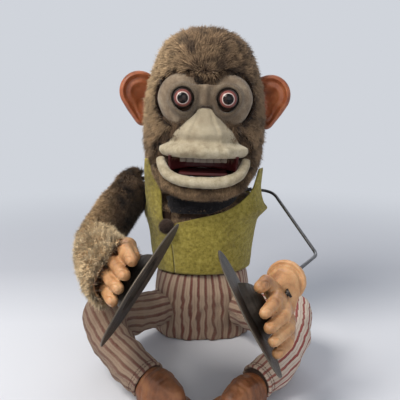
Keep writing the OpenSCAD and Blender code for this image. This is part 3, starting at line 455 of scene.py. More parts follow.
def scatter(o, count, rng, keep=None):
    """Random points and normals over a mesh, by area, in millimetres."""
    o.data.calc_loop_triangles()
    t = np.zeros(len(o.data.loop_triangles) * 3, np.int32)
    o.data.loop_triangles.foreach_get("vertices", t)
    t = t.reshape(-1, 3)
    v, n = points_of(o), normals_of(o)
    cross = np.cross(v[t[:, 1]] - v[t[:, 0]], v[t[:, 2]] - v[t[:, 0]])
    if keep is not None:
        kept = keep(v[t].mean(1), unit(cross))
        t, cross = t[kept], cross[kept]
    area = np.linalg.norm(cross, axis=1)
    pick = rng.choice(len(t), count, p=area / area.sum())
    a, b = rng.random(count), rng.random(count)
    flip = a + b > 1
    a[flip], b[flip] = 1 - a[flip], 1 - b[flip]
    w = np.stack([1 - a - b, a, b], 1)[:, :, None]
    return (v[t[pick]] * w).sum(1), unit((n[t[pick]] * w).sum(1))


BLADE = 5
BLADE_LOOPS = np.array([0, 1, 3, 2, 2, 3, 4])
BLADE_STARTS = np.array([0, 4])


def pile(name, body, slot, finish, rng, P, N, comb, length, clump, gather, lift, width=0.5, stray=0.3):
    """Short plush: one narrow blade a strand, gathered in tufts and combed along the skin."""
    n = len(P)
    comb = unit(comb - (comb * N).sum(1, keepdims=True) * N + 1e-6)
    L = (length * (0.7 + 0.5 * rng.random(n)))[:, None]
    jitter = rng.normal(0, stray, (n, 3))
    first = unit(N * lift * 1.15 + comb * 0.45 + jitter * 0.7)
    second = unit(N * lift * 0.45 + comb * 0.95 + jitter)
    mid = P + first * L * 0.5
    tip = mid + second * L * 0.55
    tufts = max(8, int(n / (clump * clump * 4)))
    seeds = rng.choice(n, tufts, replace=False)
    tree = kdtree.KDTree(tufts)
    for i, s in enumerate(seeds):
        tree.insert(P[s], i)
    tree.balance()
    near = np.array([tree.find(p)[1] for p in P])
    pull = (P[seeds[near]] - P) * (gather * (0.6 + 0.5 * rng.random(n))[:, None])
    tip = tip + pull
    mid = mid + pull * 0.4
    side = unit(np.cross(first, rng.normal(0, 1, (n, 3)))) * (width * (0.7 + 0.6 * rng.random(n)))[:, None] * 0.5
    verts = np.stack([P - side, P + side, mid - side * 0.8, mid + side * 0.8, tip], 1).reshape(-1, 3) * MM
    strand = np.arange(n)[:, None]
    me = bpy.data.meshes.new(name)
    me.vertices.add(n * BLADE)
    me.vertices.foreach_set("co", verts.astype(np.float32).ravel())
    me.loops.add(n * len(BLADE_LOOPS))
    me.loops.foreach_set("vertex_index", (BLADE_LOOPS + BLADE * strand).ravel().astype(np.int32))
    me.polygons.add(n * len(BLADE_STARTS))
    me.polygons.foreach_set("loop_start", (BLADE_STARTS + len(BLADE_LOOPS) * strand).ravel().astype(np.int32))
    me.update(calc_edges=True)
    o = place(name, me)
    own = np.repeat(rng.random(n), BLADE)
    tuft = np.repeat(rng.random(tufts)[near], BLADE)
    set_vector(o, "pile", xyz(np.tile([0.0, 0.0, 0.5, 0.5, 1.0], n), own * 0.4 + tuft * 0.6, 0))
    set_vector(o, "skin_normal", np.repeat(N, BLADE, axis=0))
    me.materials.append(finish)
    settle(o, body, slot, None)


def grid_faces(rows, cols, closed=False):
    f = []
    for i in range(rows - 1):
        for j in range(cols if closed else cols - 1):
            a, b = i * cols + j, i * cols + (j + 1) % cols
            f.append((a, b, b + cols, a + cols))
    return f


def flipped(faces):
    return [tuple(reversed(f)) for f in faces]


def grid(a, b):
    """Every pair of two rows of values, as two columns."""
    return [g.ravel() for g in np.meshgrid(a, b, indexing="ij")]


def around(count):
    return TAU * np.arange(count) / count


def tube(path, radii, u, v, sides):
    """Rings of points round a path, on two directions at each place, and their faces."""
    a = around(sides)[:, None]
    rings = path[:, None] + np.reshape(radii, (-1, 1, 1)) * (np.cos(a) * u[:, None] + np.sin(a) * v[:, None])
    return rings.reshape(-1, 3), flipped(grid_faces(len(path), sides, True))


def curve(points, steps):
    """A smooth path through points."""
    p = np.asarray(points, float)
    out = []
    for i in range(len(p) - 1):
        a, b, c, d = p[max(i - 1, 0)], p[i], p[i + 1], p[min(i + 2, len(p) - 1)]
        for k in range(steps):
            t = k / steps
            out.append(0.5 * (2 * b + (c - a) * t + (2 * a - 5 * b + 4 * c - d) * t * t
                              + (3 * b - a - 3 * c + d) * t ** 3))
    out.append(p[-1])
    return np.array(out)


# Finishes

# The pale colour with its x span is a painted highlight on the lit side; the sleeve's last, near-black colour is
# painted shade on its inner, lower side, by the body.
brown_fur = fur_finish("brown_plush", C(30, 21, 16), C(94, 72, 53), C(168, 138, 104), C(56, 41, 32), 0.75,
                       (C(216, 184, 140), -0.01, -0.048), (0.16, 0.205))
sleeve_fur = fur_finish("sleeve_plush", C(18, 13, 10), C(62, 46, 35), C(136, 108, 80), C(30, 22, 17), 0.9,
                        (C(214, 178, 132), -0.066, -0.085), None, (C(16, 12, 10), -0.068, -0.057, 0.126, 0.114))
tan_fur = fur_finish("tan_plush", C(206, 166, 120), C(243, 205, 154), C(252, 228, 186), C(210, 170, 124), 0.35)
black_fur = fur_finish("pompom_yarn", C(20, 15, 13), C(54, 41, 35), C(98, 78, 66), C(30, 23, 20), 0.5)
fur_skin = backing_finish("plush_backing", C(36, 26, 20), C(60, 45, 35))
tan_skin = backing_finish("tan_plush_backing", C(128, 99, 70), C(168, 131, 93))
felt = felt_finish("yellow_felt", C(144, 131, 58), C(178, 163, 84), C(104, 92, 38), C(96, 83, 42))
black_felt = felt_finish("black_felt", C(26, 25, 27), C(44, 42, 44), C(14, 13, 14), C(36, 32, 30))
cotton = cotton_finish("striped_cotton")
hand_vinyl = vinyl_finish("hand_vinyl", C(190, 141, 96), C(217, 175, 130), C(124, 80, 48), 0.42, 0.35)
foot_vinyl = vinyl_finish("foot_vinyl", C(124, 76, 45), C(160, 107, 68), C(78, 45, 27), 0.45, 0.4)
ear_vinyl = vinyl_finish("ear_vinyl", C(150, 82, 48), C(182, 112, 72), C(96, 49, 28), 0.42, 0.18)
mask_flock = flock_finish("grey_flock", C(134, 116, 96), C(168, 152, 130), C(100, 84, 68), C(86, 70, 56), None,
                          C(56, 47, 39))
lip_flock = flock_finish("cream_flock", C(178, 165, 138), C(206, 195, 170), C(138, 123, 98), C(122, 104, 82))
muzzle_flock = flock_finish("muzzle_flock", C(180, 167, 140), C(206, 195, 170), C(142, 127, 102), C(124, 106, 84),
                            (0.1645, 0.1695, C(176, 163, 138)))
mouth_paint = plastic_finish("mouth_paint", C(96, 24, 24), C(48, 11, 11), 0.5)
cymbal_steel = cymbal_finish("cymbal_steel")
wire_steel = metal_finish("dark_wire", C(112, 112, 114), C(58, 56, 56), 0.34, 1400, 0.6)
eye_paint = eye_finish("eye_paint")

SLOT_FINISH = {
    "brown_plush": fur_skin, "tan_plush": tan_skin, "black_felt": black_felt, "yellow_felt": felt,
    "striped_cotton": cotton, "foot_vinyl": foot_vinyl, "hand_vinyl": hand_vinyl, "ear_vinyl": ear_vinyl,
    "dark_wire": wire_steel, "cymbal_steel": cymbal_steel, "grey_flock": mask_flock, "cream_flock": lip_flock,
    "eye_gloss": eye_paint}
for slot, base, dark, rough in (
        ("base_plastic", C(34, 34, 36), C(20, 20, 21), 0.5), ("shell_plastic", C(112, 82, 60), C(84, 58, 42), 0.5),
        # tooth_white is dimmed: painted shade for teeth inside the mouth.
        ("switch_plastic", C(160, 38, 32), C(120, 24, 22), 0.35), ("tooth_white", C(118, 104, 88), C(86, 72, 58), 0.35),
        ("gear_nylon", C(226, 220, 204), C(196, 188, 168), 0.42),
        ("cell_jacket", C(186, 152, 70), C(150, 116, 46), 0.3)):
    SLOT_FINISH[slot] = plastic_finish(slot, base, dark, rough)
for slot, base, dark, rough, tarnish in (
        ("plated_steel", C(190, 188, 182), C(128, 120, 106), 0.3, 0.4),
        ("brass", C(190, 152, 84), C(120, 90, 48), 0.32, 0.5), ("pin_black", C(54, 50, 48), C(26, 24, 23), 0.4, 0.5)):
    SLOT_FINISH[slot] = metal_finish(slot, base, dark, rough, 1200, tarnish)
SLOT_FINISH["motor_case"] = SLOT_FINISH["plated_steel"]
for sub in frame["record"]["subparts"]:
    o = nodes[sub["node"]]
    if not o.material_slots:
        o.data.materials.append(None)
    for s in o.material_slots:
        s.material = SLOT_FINISH[sub["material_slot"]]
for s in nodes["jaw_frame"].material_slots:
    s.material = mouth_paint

# Stage: camera, floor and light

cam = place("camera", bpy.data.cameras.new("camera"))
cam.data.lens = 54
cam.data.sensor_width = 36
cam.data.clip_start = 0.01
cam.location = (-0.0016, -0.5045, 0.210)
cam.rotation_euler = (math.radians(79), 0, 0)
scene.camera = cam
scene.view_settings.view_transform = "Standard"

BACKDROP = C(208, 212, 219)
FLOOR_HALF = 4
paper = Finish("paper_floor", Roughness=0.9, Specular_IOR_Level=0.1)
x, y, _ = paper.split(paper.co)
# Painted shade: the floor darkens with distance behind the toy, for the paper's bend into a wall.
tone = paper.ramp(paper.span(y, 0.0, 0.16, 0.0, 1.0), (0.0, (0.68, 0.695, 0.74)), (1.0, (0.5, 0.515, 0.56)))
tone = paper.mix(paper.span(paper.noise(4, 4), 0.35, 0.7, 0.0, 0.1), tone, (0.56, 0.575, 0.62))
paper.look(tone, paper.noise(9, 3), 0.004, 0.3)
reach = paper.math("SQRT", paper.add(paper.times(x, x), paper.times(y, y)))
far = paper.span(reach, 0.22, 0.75, 0.0, 1.0, interpolation_type="SMOOTHSTEP")
haze = paper.node("Emission", {0: BACKDROP})
paper.feed(paper.out.inputs[0], paper.node("MixShader", {0: far, 1: paper.b.outputs[0], 2: haze}))
corners = [(i * FLOOR_HALF, j * FLOOR_HALF, 0) for i, j in ((-1, -1), (1, -1), (1, 1), (-1, 1))]
floor = add_mesh("floor", corners, [(0, 1, 2, 3)], paper.m, False)

world = bpy.data.worlds.new("studio")
scene.world = world
world.use_nodes = True
tree = world.node_tree
background = tree.nodes["Background"]
background.inputs[0].default_value = (*BACKDROP, 1)
rays = tree.nodes.new("ShaderNodeLightPath")
shown = rays.outputs["Is Camera Ray"]
for ray in ("Is Glossy Ray", "Is Transmission Ray"):
    either = tree.nodes.new("ShaderNodeMath")
    either.operation = "ADD"
    tree.links.new(shown, either.inputs[0])
    tree.links.new(rays.outputs[ray], either.inputs[1])
    shown = either.outputs[0]
strength = tree.nodes.new("ShaderNodeMapRange")
tree.links.new(shown, strength.inputs[0])
strength.inputs["To Min"].default_value = 0.62
tree.links.new(strength.outputs[0], background.inputs[1])

for name, at, look, size, power, colour in (
        ("key", (-0.6, -0.5, 0.95), (0, -0.05, 0.1), 0.6, 11.8, (1.0, 0.96, 0.9)),
        ("fill", (0.2, -0.95, 0.4), (0, -0.03, 0.12), 0.8, 1.8, (0.97, 0.98, 1.0)),
        ("back", (0.1, 0.9, 0.9), (0, 0, 0.15), 0.8, 3.0, (0.96, 0.98, 1.0))):
    lamp = bpy.data.lights.new(name, "AREA")
    lamp.shape = "DISK"
    lamp.size = size
    lamp.energy = power
    lamp.color = colour
    o = place(name, lamp)
    o.location = at
    o.rotation_mode = "QUATERNION"
    o.rotation_quaternion = (Vector(look) - Vector(at)).to_track_quat("-Z", "Y")

# Head; heights and radii of the hood, then its fur

rng = np.random.default_rng(11)
HOOD = np.array([[127, 27], [132, 37.5], [138, 42.3], [148, 45.8], [163, 47.6], [182, 47.6], [198, 46.4], [211, 43.8],
                 [221, 40.5], [231, 37], [240, 32], [247, 23.5], [251, 13.5], [252.5, 0]])
HOOD_Y, FACE_Y = -2, -8
EYE_X, EYE_Y, EYE_Z = 17, -46, 199
hood = stuffed("head_skin", "head_plush", "head", voxel=1.6, inset=2.2)


def hood_keep(mid, normal):
    x, y, z = untilt(mid).T
    radius = np.hypot(x, y - HOOD_Y)
    outer = np.interp(z, *HOOD.T)
    outward = (normal * unit(xyz(x, y - HOOD_Y, np.clip(z - 205, -40, 60)))).sum(1)
    skin = ((radius > outer - 4.6) | (z > 242)) & (outward > 0.15)
    rim = (radius > outer - 7.4) & (y < FACE_Y) & (outward > -0.3) & (normal[:, 2] > -0.6)
    return skin | rim


def hood_comb(P):
    x, _, z = untilt(P).T
    crown = ease(215, 240, z)[:, None]
    sides = xyz(x * 0.02, 0.35, -0.55 + 0.02 * (z - 200))
    return sides * (1 - crown) + xyz(x * 0.03 + 0.3, 0.5, 0.25) * crown + swirl(P, 14, 3.1, 7.7, 12.3) * 0.75


for part, (count, seed, length, clump, gather) in enumerate([(60000, 21, 5.4, 2.4, 0.5), (64000, 22, 7.4, 3.6, 0.85)]):
    r = np.random.default_rng(seed)
    P, N = scatter(hood, count, r, hood_keep)
    pile(f"head_pile_{part}", "head", "brown_plush", brown_fur, r, P, N, hood_comb(P), length, clump, gather, lift=0.75)


def cheek_keep(mid, normal):
    x, y, z = untilt(mid).T
    cheek = (np.abs(x) > 15) & (z > 152) & (z < 184)
    brow = (np.abs(x) < 26) & (z > 206) & (z < 226)
    return (y < FACE_Y) & (cheek | brow) & ((normal * unit(xyz(x, y - HOOD_Y, 0))).sum(1) > 0.3)


P, N = scatter(nodes["skull"], 16000, rng, cheek_keep)
pile("cheek_pile", "head", "brown_plush", sleeve_fur, rng, P, N, [0.0, -0.3, -1.0], length=7.5, clump=3.0, gather=0.6,
     lift=0.9)

# Face

mask = soft_copy("eye_mask_form", "eye_mask", 0.8, 8)
q = untilt(points_of(mask))
x, y, z = q.T
n = normals_of(mask)
from_eye = [np.hypot(x - side * EYE_X, z - EYE_Z) for side in (-1, 1)]
lid = sum(bell(d, 10.4, 1.5) * 0.7 - bell(d, 13.6, 2.4) * 1.1 + bell(d, 18.3, 2.2) * 0.8 for d in from_eye)
low = np.clip(196 - z, 0, 30)
drawn = xyz(x - np.sign(x) * low * 0.16 * ease(4, 12, np.abs(x)), y + low * 0.12, z - low * 0.34)
move_points(mask, tilt(drawn) + n * (lid * np.clip(-n[:, 1], 0, 1) + 0.22 * noise_at(q, 7, 2))[:, None])
# Painted shade: the mask is darkened in the sockets round the eyes and towards its lower edge, fading to none at the
# outer, upper rim.
rim = np.clip(np.abs(x) * 0.05 + (z - EYE_Z) * 0.03, -0.6, 1)
socket_shade = np.clip(0.95 - 0.8 * ease(8.5, 18.5, np.minimum(*from_eye)) - 0.35 * rim, 0, 1)
set_vector(mask, "socket_shade", xyz(socket_shade, 0, 0))
settle(mask, "head", "grey_flock", mask_flock, "eye_mask")

muzzle = soft_copy("muzzle_form", "muzzle", 0.8, 6)
q = untilt(points_of(muzzle))
x, y, z = q.T
n = normals_of(muzzle)
roll = bell(z, 160.3, 4.0) - bell(z, 168.4, 2.6) * 3.2
ridge = -bell(np.abs(x), 5.5 + 0.35 * (190 - z), 2.0) * 0.7 * ease(168, 176, z)
front = np.clip(-n[:, 1] + 0.3, 0, 1)
p = q + (n @ LEAN) * ((roll + ridge) * front + 0.25 * noise_at(q, 9, 4))[:, None]
p[:, 0] *= np.interp(z, [162.5, 165.8, 174, 177.5, 181, 192], [1.0, 0.88, 0.92, 0.9, 0.83, 0.8])
p[:, 2] -= 1.1 * (1 - ease(164, 172, z))
move_points(muzzle, tilt(p))
settle(muzzle, "head", "cream_flock", muzzle_flock, "muzzle")

LIP_HALF = [(33.4, -38.5, 153.2), (32.2, -41.2, 147.2), (26.5, -46.6, 139.8), (14.5, -50.6, 136.0)]
LIP_SIDES = 28
LIP_END = np.array([0.05, 0.6, 0.84, 0.96])
path = curve([(-x, y, z) for x, y, z in LIP_HALF] + [(0, -52.0, 135.4)] + LIP_HALF[::-1], 10)
radii = 3.0 + 1.5 * np.sin(np.pi * np.linspace(0, 1, len(path))) ** 0.6
radii[:4] *= LIP_END
radii[-4:] *= LIP_END[::-1]
along = unit(np.gradient(path, axis=0))
u = unit(np.cross([0, 0, 1], along))
verts, faces = tube(path, radii, u, np.cross(along, u), LIP_SIDES)
lip = add_mesh("lower_lip_form", tilt(verts) * MM, faces)
q = points_of(lip)
move_points(lip, swollen(lip, 0.35 * noise_at(q, 6, 9) + 0.15 * noise_at(q, 2.5, 3)))
settle(lip, "jaw", "cream_flock", lip_flock, "lower_lip")

chin = stuffed("chin_skin", "chin_plush", "jaw", voxel=1.2, inset=1.5, smooth=6)
P, N = scatter(chin, 15000, rng, lambda mid, normal: (normal[:, 1] < 0.5) & (normal[:, 2] < 0.75))
pile("chin_pile", "jaw", "brown_plush", brown_fur, rng, P, N, [0.0, -0.2, -1.0], length=4.8, clump=2.2, gather=0.5,
     lift=0.7, width=0.4)

LINING = [(-44, 156.4), (-38, 157.2), (-31, 157), (-25, 155.6), (-21.5, 152.5), (-20.4, 149.5), (-20.4, 147),
          (-20.6, 145), (-21, 143.4)]
LINING_HALF, LINING_COLS = 27, 33
lining = [(LINING_HALF * s, y - 1.2 + 20 * abs(s) ** 3 * (-1 if y > -30 else -0.15), z - 1.2 * s * s)
          for y, z in LINING for s in np.linspace(-1, 1, LINING_COLS)]
mouth = add_mesh("mouth_lining", tilt(lining) * MM, grid_faces(len(LINING), LINING_COLS), mouth_paint)
modify(mouth, "SOLIDIFY", thickness=0.0008)
bake_modifiers(mouth)
settle(mouth, "head", "shell_plastic", mouth_paint)

EYE_ROWS, EYE_COLS = 40, 64
for side, name in ((-1, "eyeball_right"), (1, "eyeball_left")):
    a, b = grid(np.linspace(0, math.pi * 0.72, EYE_ROWS), around(EYE_COLS))
    r = 8.05 + 0.25 * np.exp(-((a / 0.42) ** 4))
    verts = xyz(side * EYE_X + r * np.sin(a) * np.cos(b), EYE_Y - r * np.cos(a), EYE_Z + r * np.sin(a) * np.sin(b))
    ball = add_mesh(name, tilt(verts) * MM, flipped(grid_faces(EYE_ROWS, EYE_COLS, True)), eye_paint)
    set_vector(ball, "gaze", xyz(8 * a, 0, 0))
    settle(ball, "eye_pair", "eye_gloss", None)

# Ears; the outline is the hull of three discs, as middle and radius

EAR_DISCS = (((10, 6), 17), ((3.5, 14), 6), ((7, -16), 7))
EAR_MID = np.array([9, 1])
EAR_AT = (44.6, 5, 196)
EAR_TURN = math.radians(-14)
EAR_ROWS, EAR_COLS = 34, 96


def compass(angles):
    return np.stack([np.cos(angles), np.sin(angles)], 1)


def ear_reach(angles):
    """Reach of the ear's outline from its middle along each direction."""
    ring = np.concatenate([c + r * compass(around(60)) - EAR_MID for c, r in EAR_DISCS])
    ways = compass(around(90))
    meet = compass(angles) @ ways.T
    return np.where(meet > 1e-3, (ring @ ways.T).max(0) / np.maximum(meet, 1e-3), 1e9).min(1)


for side, name in ((-1, "ear_right"), (1, "ear_left")):
    t, a = grid(np.linspace(0, 1, EAR_ROWS), around(EAR_COLS))
    e = np.tile(ear_reach(around(EAR_COLS)), EAR_ROWS)
    x, y = EAR_MID[0] + t * e * np.cos(a), EAR_MID[1] + t * e * np.sin(a)
    inner = bell(x, -2, 7)
    rim = bell(e - t * e, 2.6, 2.1) * (1 - 0.75 * inner)
    fold = bell(e - t * e, 9.5, 2.6) * (0.35 + 0.65 * (0.5 + 0.5 * np.sin(a - 0.2))) * (1 - inner)
    bowl = bell(x, 7, 7.5) * bell(y, -3, 9)
    lobe = bell(x, 8, 7) * bell(y, -17, 5.5)
    tragus = bell(x, 1.2, 2.8) * bell(y, -4, 5)
    h = -0.4 + 3.4 * rim + 2.0 * fold - 3.4 * bowl + 1.4 * lobe + 2.6 * tragus
    edge = np.sqrt(np.maximum(0.0, 1 - t ** 14))
    depth = np.concatenate([-h * edge + 0.8 * (1 - edge),
                            -np.minimum(h - 1.8, -3.2 + 1.6 * rim) * edge + 0.8 * (1 - edge)])
    x, depth = turned(np.tile(x, 2), depth, EAR_TURN)
    verts = xyz(side * (EAR_AT[0] + x), EAR_AT[1] + depth, EAR_AT[2] + np.tile(y, 2))
    faces = grid_faces(EAR_ROWS, EAR_COLS, True)
    faces = flipped(faces) + [tuple(k + EAR_ROWS * EAR_COLS for k in f) for f in faces]
    ear = add_mesh(name, tilt(verts) * MM, faces if side > 0 else flipped(faces), ear_vinyl)
    modify(ear, "WELD", merge_threshold=2e-5)
    modify(ear, "SMOOTH", factor=0.5, iterations=3)
    bake_modifiers(ear)
    settle(ear, "head", "ear_vinyl", ear_vinyl, *(["ears"] if side > 0 else []))

# Vest and collar; rows of VEST give height, radius across and deep, and the two angles where the cloth ends

TORSO = np.array([[43.9, 34, 28.5], [56, 35, 29], [72, 37, 30], [90, 40, 31], [104, 43.5, 31]])
FELT = 1.6
VEST_GROW = 3 + FELT + 4.6 * 0.3


def vest_row(z, flare, start, end):
    across, deep = (np.interp(min(z, 104), TORSO[:, 0], TORSO[:, k]) + VEST_GROW for k in (1, 2))
    return z, across + flare, deep, start, end


PANELS = {
    "vest_right_front": [
        (56, .6, 181, 236), (72, .3, 181, 235.5), (88, 0, 181, 234.5), (97, 0, 184, 233), (103, 1, 194, 230),
        (112, 1.6, 203, 230), (124, 2, 203, 229.5), (132, 2.4, 203, 226), (141, 3, 204, 218), (150, 3, 206, 213)],
    "vest_left_front": [
        (56, .6, 237, 359), (72, .3, 236.5, 359), (88, 0, 235.5, 359), (97, 0, 239, 357), (103, 4, 262, 354),
        (107, 7, 281, 350), (113, 4.5, 300, 344.5), (124, 2.2, 322, 343), (132, 2.4, 329, 345), (141, 3, 336, 348)],
    "vest_back": [
        (56, .6, 0, 180), (72, .3, 0, 180), (88, 0, 0, 180), (97, 0, 6, 174), (104, 0, 22, 158), (112, 0, 26, 154),
        (121, -3, 30, 150)]}
VEST = {node: [vest_row(*r) for r in rows] for node, rows in PANELS.items()}
VEST["neck_collar"] = [(107.5, 49.4, 36.9, 240, 278), (112.5, 46.6, 35.9, 233, 296), (116, 44.5, 34.8, 231, 306),
                       (120.5, 42, 32.8, 230, 317), (126, 48, 36, 300, 330)]


def wrapped_sheet(node, slot, finish, thick, across, seed, puff):
    """A cloth panel round the body with soft edges and shallow folds."""
    s = curve(VEST[node], 8)
    m = len(s)
    columns = np.arange(across)
    outer, inner, lengths = [], [], []
    for i, (z, rx, ry, a0, a1) in enumerate(s):
        a = np.radians(np.linspace(a0, a1, across))
        from_edge = np.minimum(np.minimum(columns, columns[::-1]) / 3.0, min(i, m - 1 - i) / 2.0)
        fat = 0.35 + 0.65 * np.sqrt(1 - (1 - np.clip(from_edge, 0, 1)) ** 2)
        p = xyz(rx * np.cos(a), ry * np.sin(a), z)
        fold = noise_at(p * [1, 1, 0.45], 17, seed) * puff + noise_at(p, 5.5, seed + 5) * puff * 0.22
        fold = np.clip(fold, -0.25, 3)
        out = unit(xyz(np.cos(a) / rx, np.sin(a) / ry, 0))
        middle = p - out * (thick / 2)
        outer.append(middle + out * (thick / 2 * fat + fold)[:, None])
        inner.append(middle - out * (thick / 2 * fat - np.maximum(fold, 0) * 0.8)[:, None])
        lengths.append(np.linalg.norm(np.diff(p, axis=0), axis=1).sum())
    outer, inner = np.array(outer), np.array(inner)
    count = m * across
    quads = grid_faces(m, across)
    faces = flipped(quads) + [tuple(k + count for k in f) for f in quads]
    rim = [(0, j) for j in range(across)] + [(i, across - 1) for i in range(1, m)]
    rim += [(m - 1, j) for j in range(across - 2, -1, -1)] + [(i, 0) for i in range(m - 2, 0, -1)]
    ids = [i * across + j for i, j in rim]
    faces += [(a, b, b + count, a + count) for a, b in zip(ids, ids[1:] + ids[:1])]
    o = add_mesh(node + "_felt", np.concatenate([outer.reshape(-1, 3), inner.reshape(-1, 3)]) * MM, faces, finish)
    face_outward(o)
    mid = (outer + inner) / 2
    mid = mid.reshape(-1, 3)
    settle(o, "torso", slot, finish, node)


for k, node in enumerate(PANELS):
    wrapped_sheet(node, "yellow_felt", felt, FELT, across=72, seed=3.7 * k + 1, puff=0.9)
wrapped_sheet("neck_collar", "black_felt", black_felt, 2.0, across=60, seed=30, puff=0.4)

# Chest plush and the vest's pompom

chest = stuffed("chest_skin", "chest_plush", "torso", voxel=1.4, inset=0.4)


def under_vest(P, slack):
    a = np.degrees(np.arctan2(P[:, 1], P[:, 0])) % 360
    hit = np.zeros(len(P), bool)
    for rows in VEST.values():
        z, _, _, start, end = np.array(rows).T
        a0, a1 = np.interp(P[:, 2], z, start), np.interp(P[:, 2], z, end)
        hit |= (P[:, 2] < z[-1] + 1) & (P[:, 2] > z[0] - 3) & (a > a0 - slack) & (a < a1 + slack)
    return hit


SHOULDER_Z = 108
NECK_HOLE, ARM_HOLE = (0, 8, 15), (29, 4, 8)


def chest_keep(mid, normal):
    x, y, z = mid.T
    outward = (normal * unit(xyz(x, y, np.clip(z - SHOULDER_Z, 0, 20) * 3))).sum(1)
    hole = np.any([np.hypot(np.abs(x) - a, y - b) < r for a, b, r in (NECK_HOLE, ARM_HOLE)], axis=0)
    top = (normal[:, 2] > 0.5) & (z > SHOULDER_Z)
    return (outward > 0.3) & (top | ~under_vest(mid, 1.5)) & (z > 80) & ~hole


P, N = scatter(chest, 34000, rng, chest_keep)
comb = [0.0, -0.1, -1.0] + rng.normal(0, 0.2, P.shape)
pile("chest_pile", "torso", "brown_plush", brown_fur, rng, P, N, comb, length=4.6, clump=2.4, gather=0.5, lift=0.5,
     width=0.42)

BALL_OUT, BALL_ANGLE = 4.6, math.radians(237)
_, across, deep, _, _ = vest_row(99, 0, 0, 0)
ball_at = np.array([(across + BALL_OUT) * math.cos(BALL_ANGLE), (deep + BALL_OUT) * math.sin(BALL_ANGLE), 97])
ball = soft_copy("pompom_core", "vest_button", 0.6, 2)
move_points(ball, ball_at + (points_of(ball) - ball_at) * 0.72)
settle(ball, "torso", "black_felt", black_felt, "vest_button")
P, N = scatter(ball, 5200, rng)
pile("pompom_pile", "torso", "black_felt", black_fur, rng, P, N, rng.normal(0, 1, P.shape), length=3.4, clump=1.6,
     gather=0.3, lift=1.5, width=0.4, stray=0.4)

# Right sleeve; each arm has its cymbal's middle and axis, and the last straight of its wire

ARM = {"right": dict(at=(-37.8, -150, 87.8), n=(-0.851, 0.162, 0.505), side=1, shift=4.5, lean=5.0, thumb=12.5,
                     wire=((-82, -58, 91.5), (-58.5, -131, 92))),
       "left": dict(at=(29.7, -143, 66.5), n=(0.89, 0.01, 0.464), side=-1, shift=8.5, lean=-10.0, thumb=25.0,
                    wire=((85.9, -72, 84.3), (52.1, -132.1, 82.8)))}
FORWARD = np.array([0, -1, 0])
PALM = 1 + 12 + 0.3 + 6.6  # plate, its bell, a gap and half a palm
SLEEVES = {
    "sleeve_upper": dict(node="right_sleeve_upper", fur=sleeve_fur, skin=fur_skin, slot="brown_plush", count=56000,
                         length=6.2, bare=6, spine=[[-50, 3, 123], [-58, -1, 121], [-68.5, -25, 108],
                                                    [-79, -50.5, 95.2]]),
    "sleeve_fore": dict(node="right_sleeve_fore", fur=tan_fur, skin=tan_skin, slot="tan_plush", count=62000,
                        length=6.6, bare=12.5, spine=[[-80.8, -59.2, 91], [-74.5, -82, 90], [-67.6, -104, 90.5],
                                                      [-61, -125, 92.5], [-55.5, -146, 96.5]])}


def facing(n):
    """The axes of a hand and its cymbal: forward, across and along the pin."""
    w = unit(n)
    f = unit(FORWARD - (FORWARD @ w) * w)
    return np.stack([f, np.cross(w, f), w])


def over_hand(P):
    """Draws the end of the lower sleeve out over the back of the right hand."""
    arm = ARM["right"]
    axes = facing(arm["n"])
    home = np.array([0, arm["shift"], PALM])
    q = (P - arm["at"]) @ axes.T - home
    low = ease(4, -14, q[:, 1])
    side = ease(-12, 3, q[:, 2])
    back = side * ease(-60, -1, q[:, 0])
    q[:, 0] += 22 * back
    q[:, 1] += back * (5 + (q[:, 1] + 6) * np.where(q[:, 1] > -6, 0.4, 0.15))
    down = side * np.clip(q[:, 2] / 14.2, 0.3 + 0.5 * low, 1)
    q[:, 2] -= 11.4 * down * (0.6 * ease(-30, 0, q[:, 0]) + 0.4 * ease(10, 22, q[:, 0]))
    return (q + home) @ axes + arm["at"]


def bent_normals(bend, P, N):
    first = unit(np.cross(N, [0.3, 0.5, 0.8]))
    second = np.cross(N, first)
    at = bend(P)
    return unit(np.cross(bend(P + first * 0.05) - at, bend(P + second * 0.05) - at))


for name, g in SLEEVES.items():
    base = soft_copy(name + "_skin", g["node"], 1.3, 5)
    move_points(base, swollen(base, -1.8 + 1.3 * noise_at(points_of(base), 12, 8)))
    settle(base, "right_arm", g["slot"], g["skin"], g["node"])
    spine = curve(g["spine"], 8)
    tangent = unit(np.gradient(spine, axis=0))
    upper = name == "sleeve_upper"
    elbow, inward = (spine[-1], tangent[-1]) if upper else (spine[0], -tangent[0])
    q = points_of(base)
    close = ease(20, 2, np.linalg.norm(q - elbow, axis=1) - 10 * ease(4, 0, (q - elbow) @ inward))
    move_points(base, q + inward * (4.5 * close)[:, None])

    def sleeve_keep(mid, normal):
        out = mid - spine[nearest(mid, spine)]
        return ((normal * unit(out)).sum(1) > 0.05) & (np.linalg.norm(out, axis=1) > g["bare"])

    P, N = scatter(base, g["count"], rng, sleeve_keep)
    comb = tangent[nearest(P, spine)] * 0.9 + swirl(P, 11, 5, 6, 7) * 0.9
    comb[:, 2] -= 0.25
    if not upper:
        N = bent_normals(over_hand, P, N)
        P = over_hand(P)
        move_points(base, over_hand(points_of(base)))
    pile(name + "_pile", "right_arm", g["slot"], g["fur"], rng, P, N, comb, g["length"], clump=3.0, gather=0.68,
         lift=0.78, stray=0.34)

# Hands, cymbals and feet

FINGER = 8.8
KNUCKLE = 8
CYMBAL_COLS = 144
CYMBAL = curve([(1.66, 12), (5, 11.75), (9, 11.2), (12.4, 10.2), (15.2, 8.6), (17.4, 6.4), (18.9, 3.8), (20, 1.5),
                (21.2, 0.75), (24, 0.58), (30, 0.4), (36, 0.22), (41, 0.08), (43.2, 0.02), (44, 0.1)], 4)
FOOT_AT = (36, -134)
FOOT_TURN = math.radians(-133)


def nail(ring, height):
    return height * (0.35 * np.exp(-(ring ** 6)) - 0.6 * bell(ring, 1.05, 0.17))


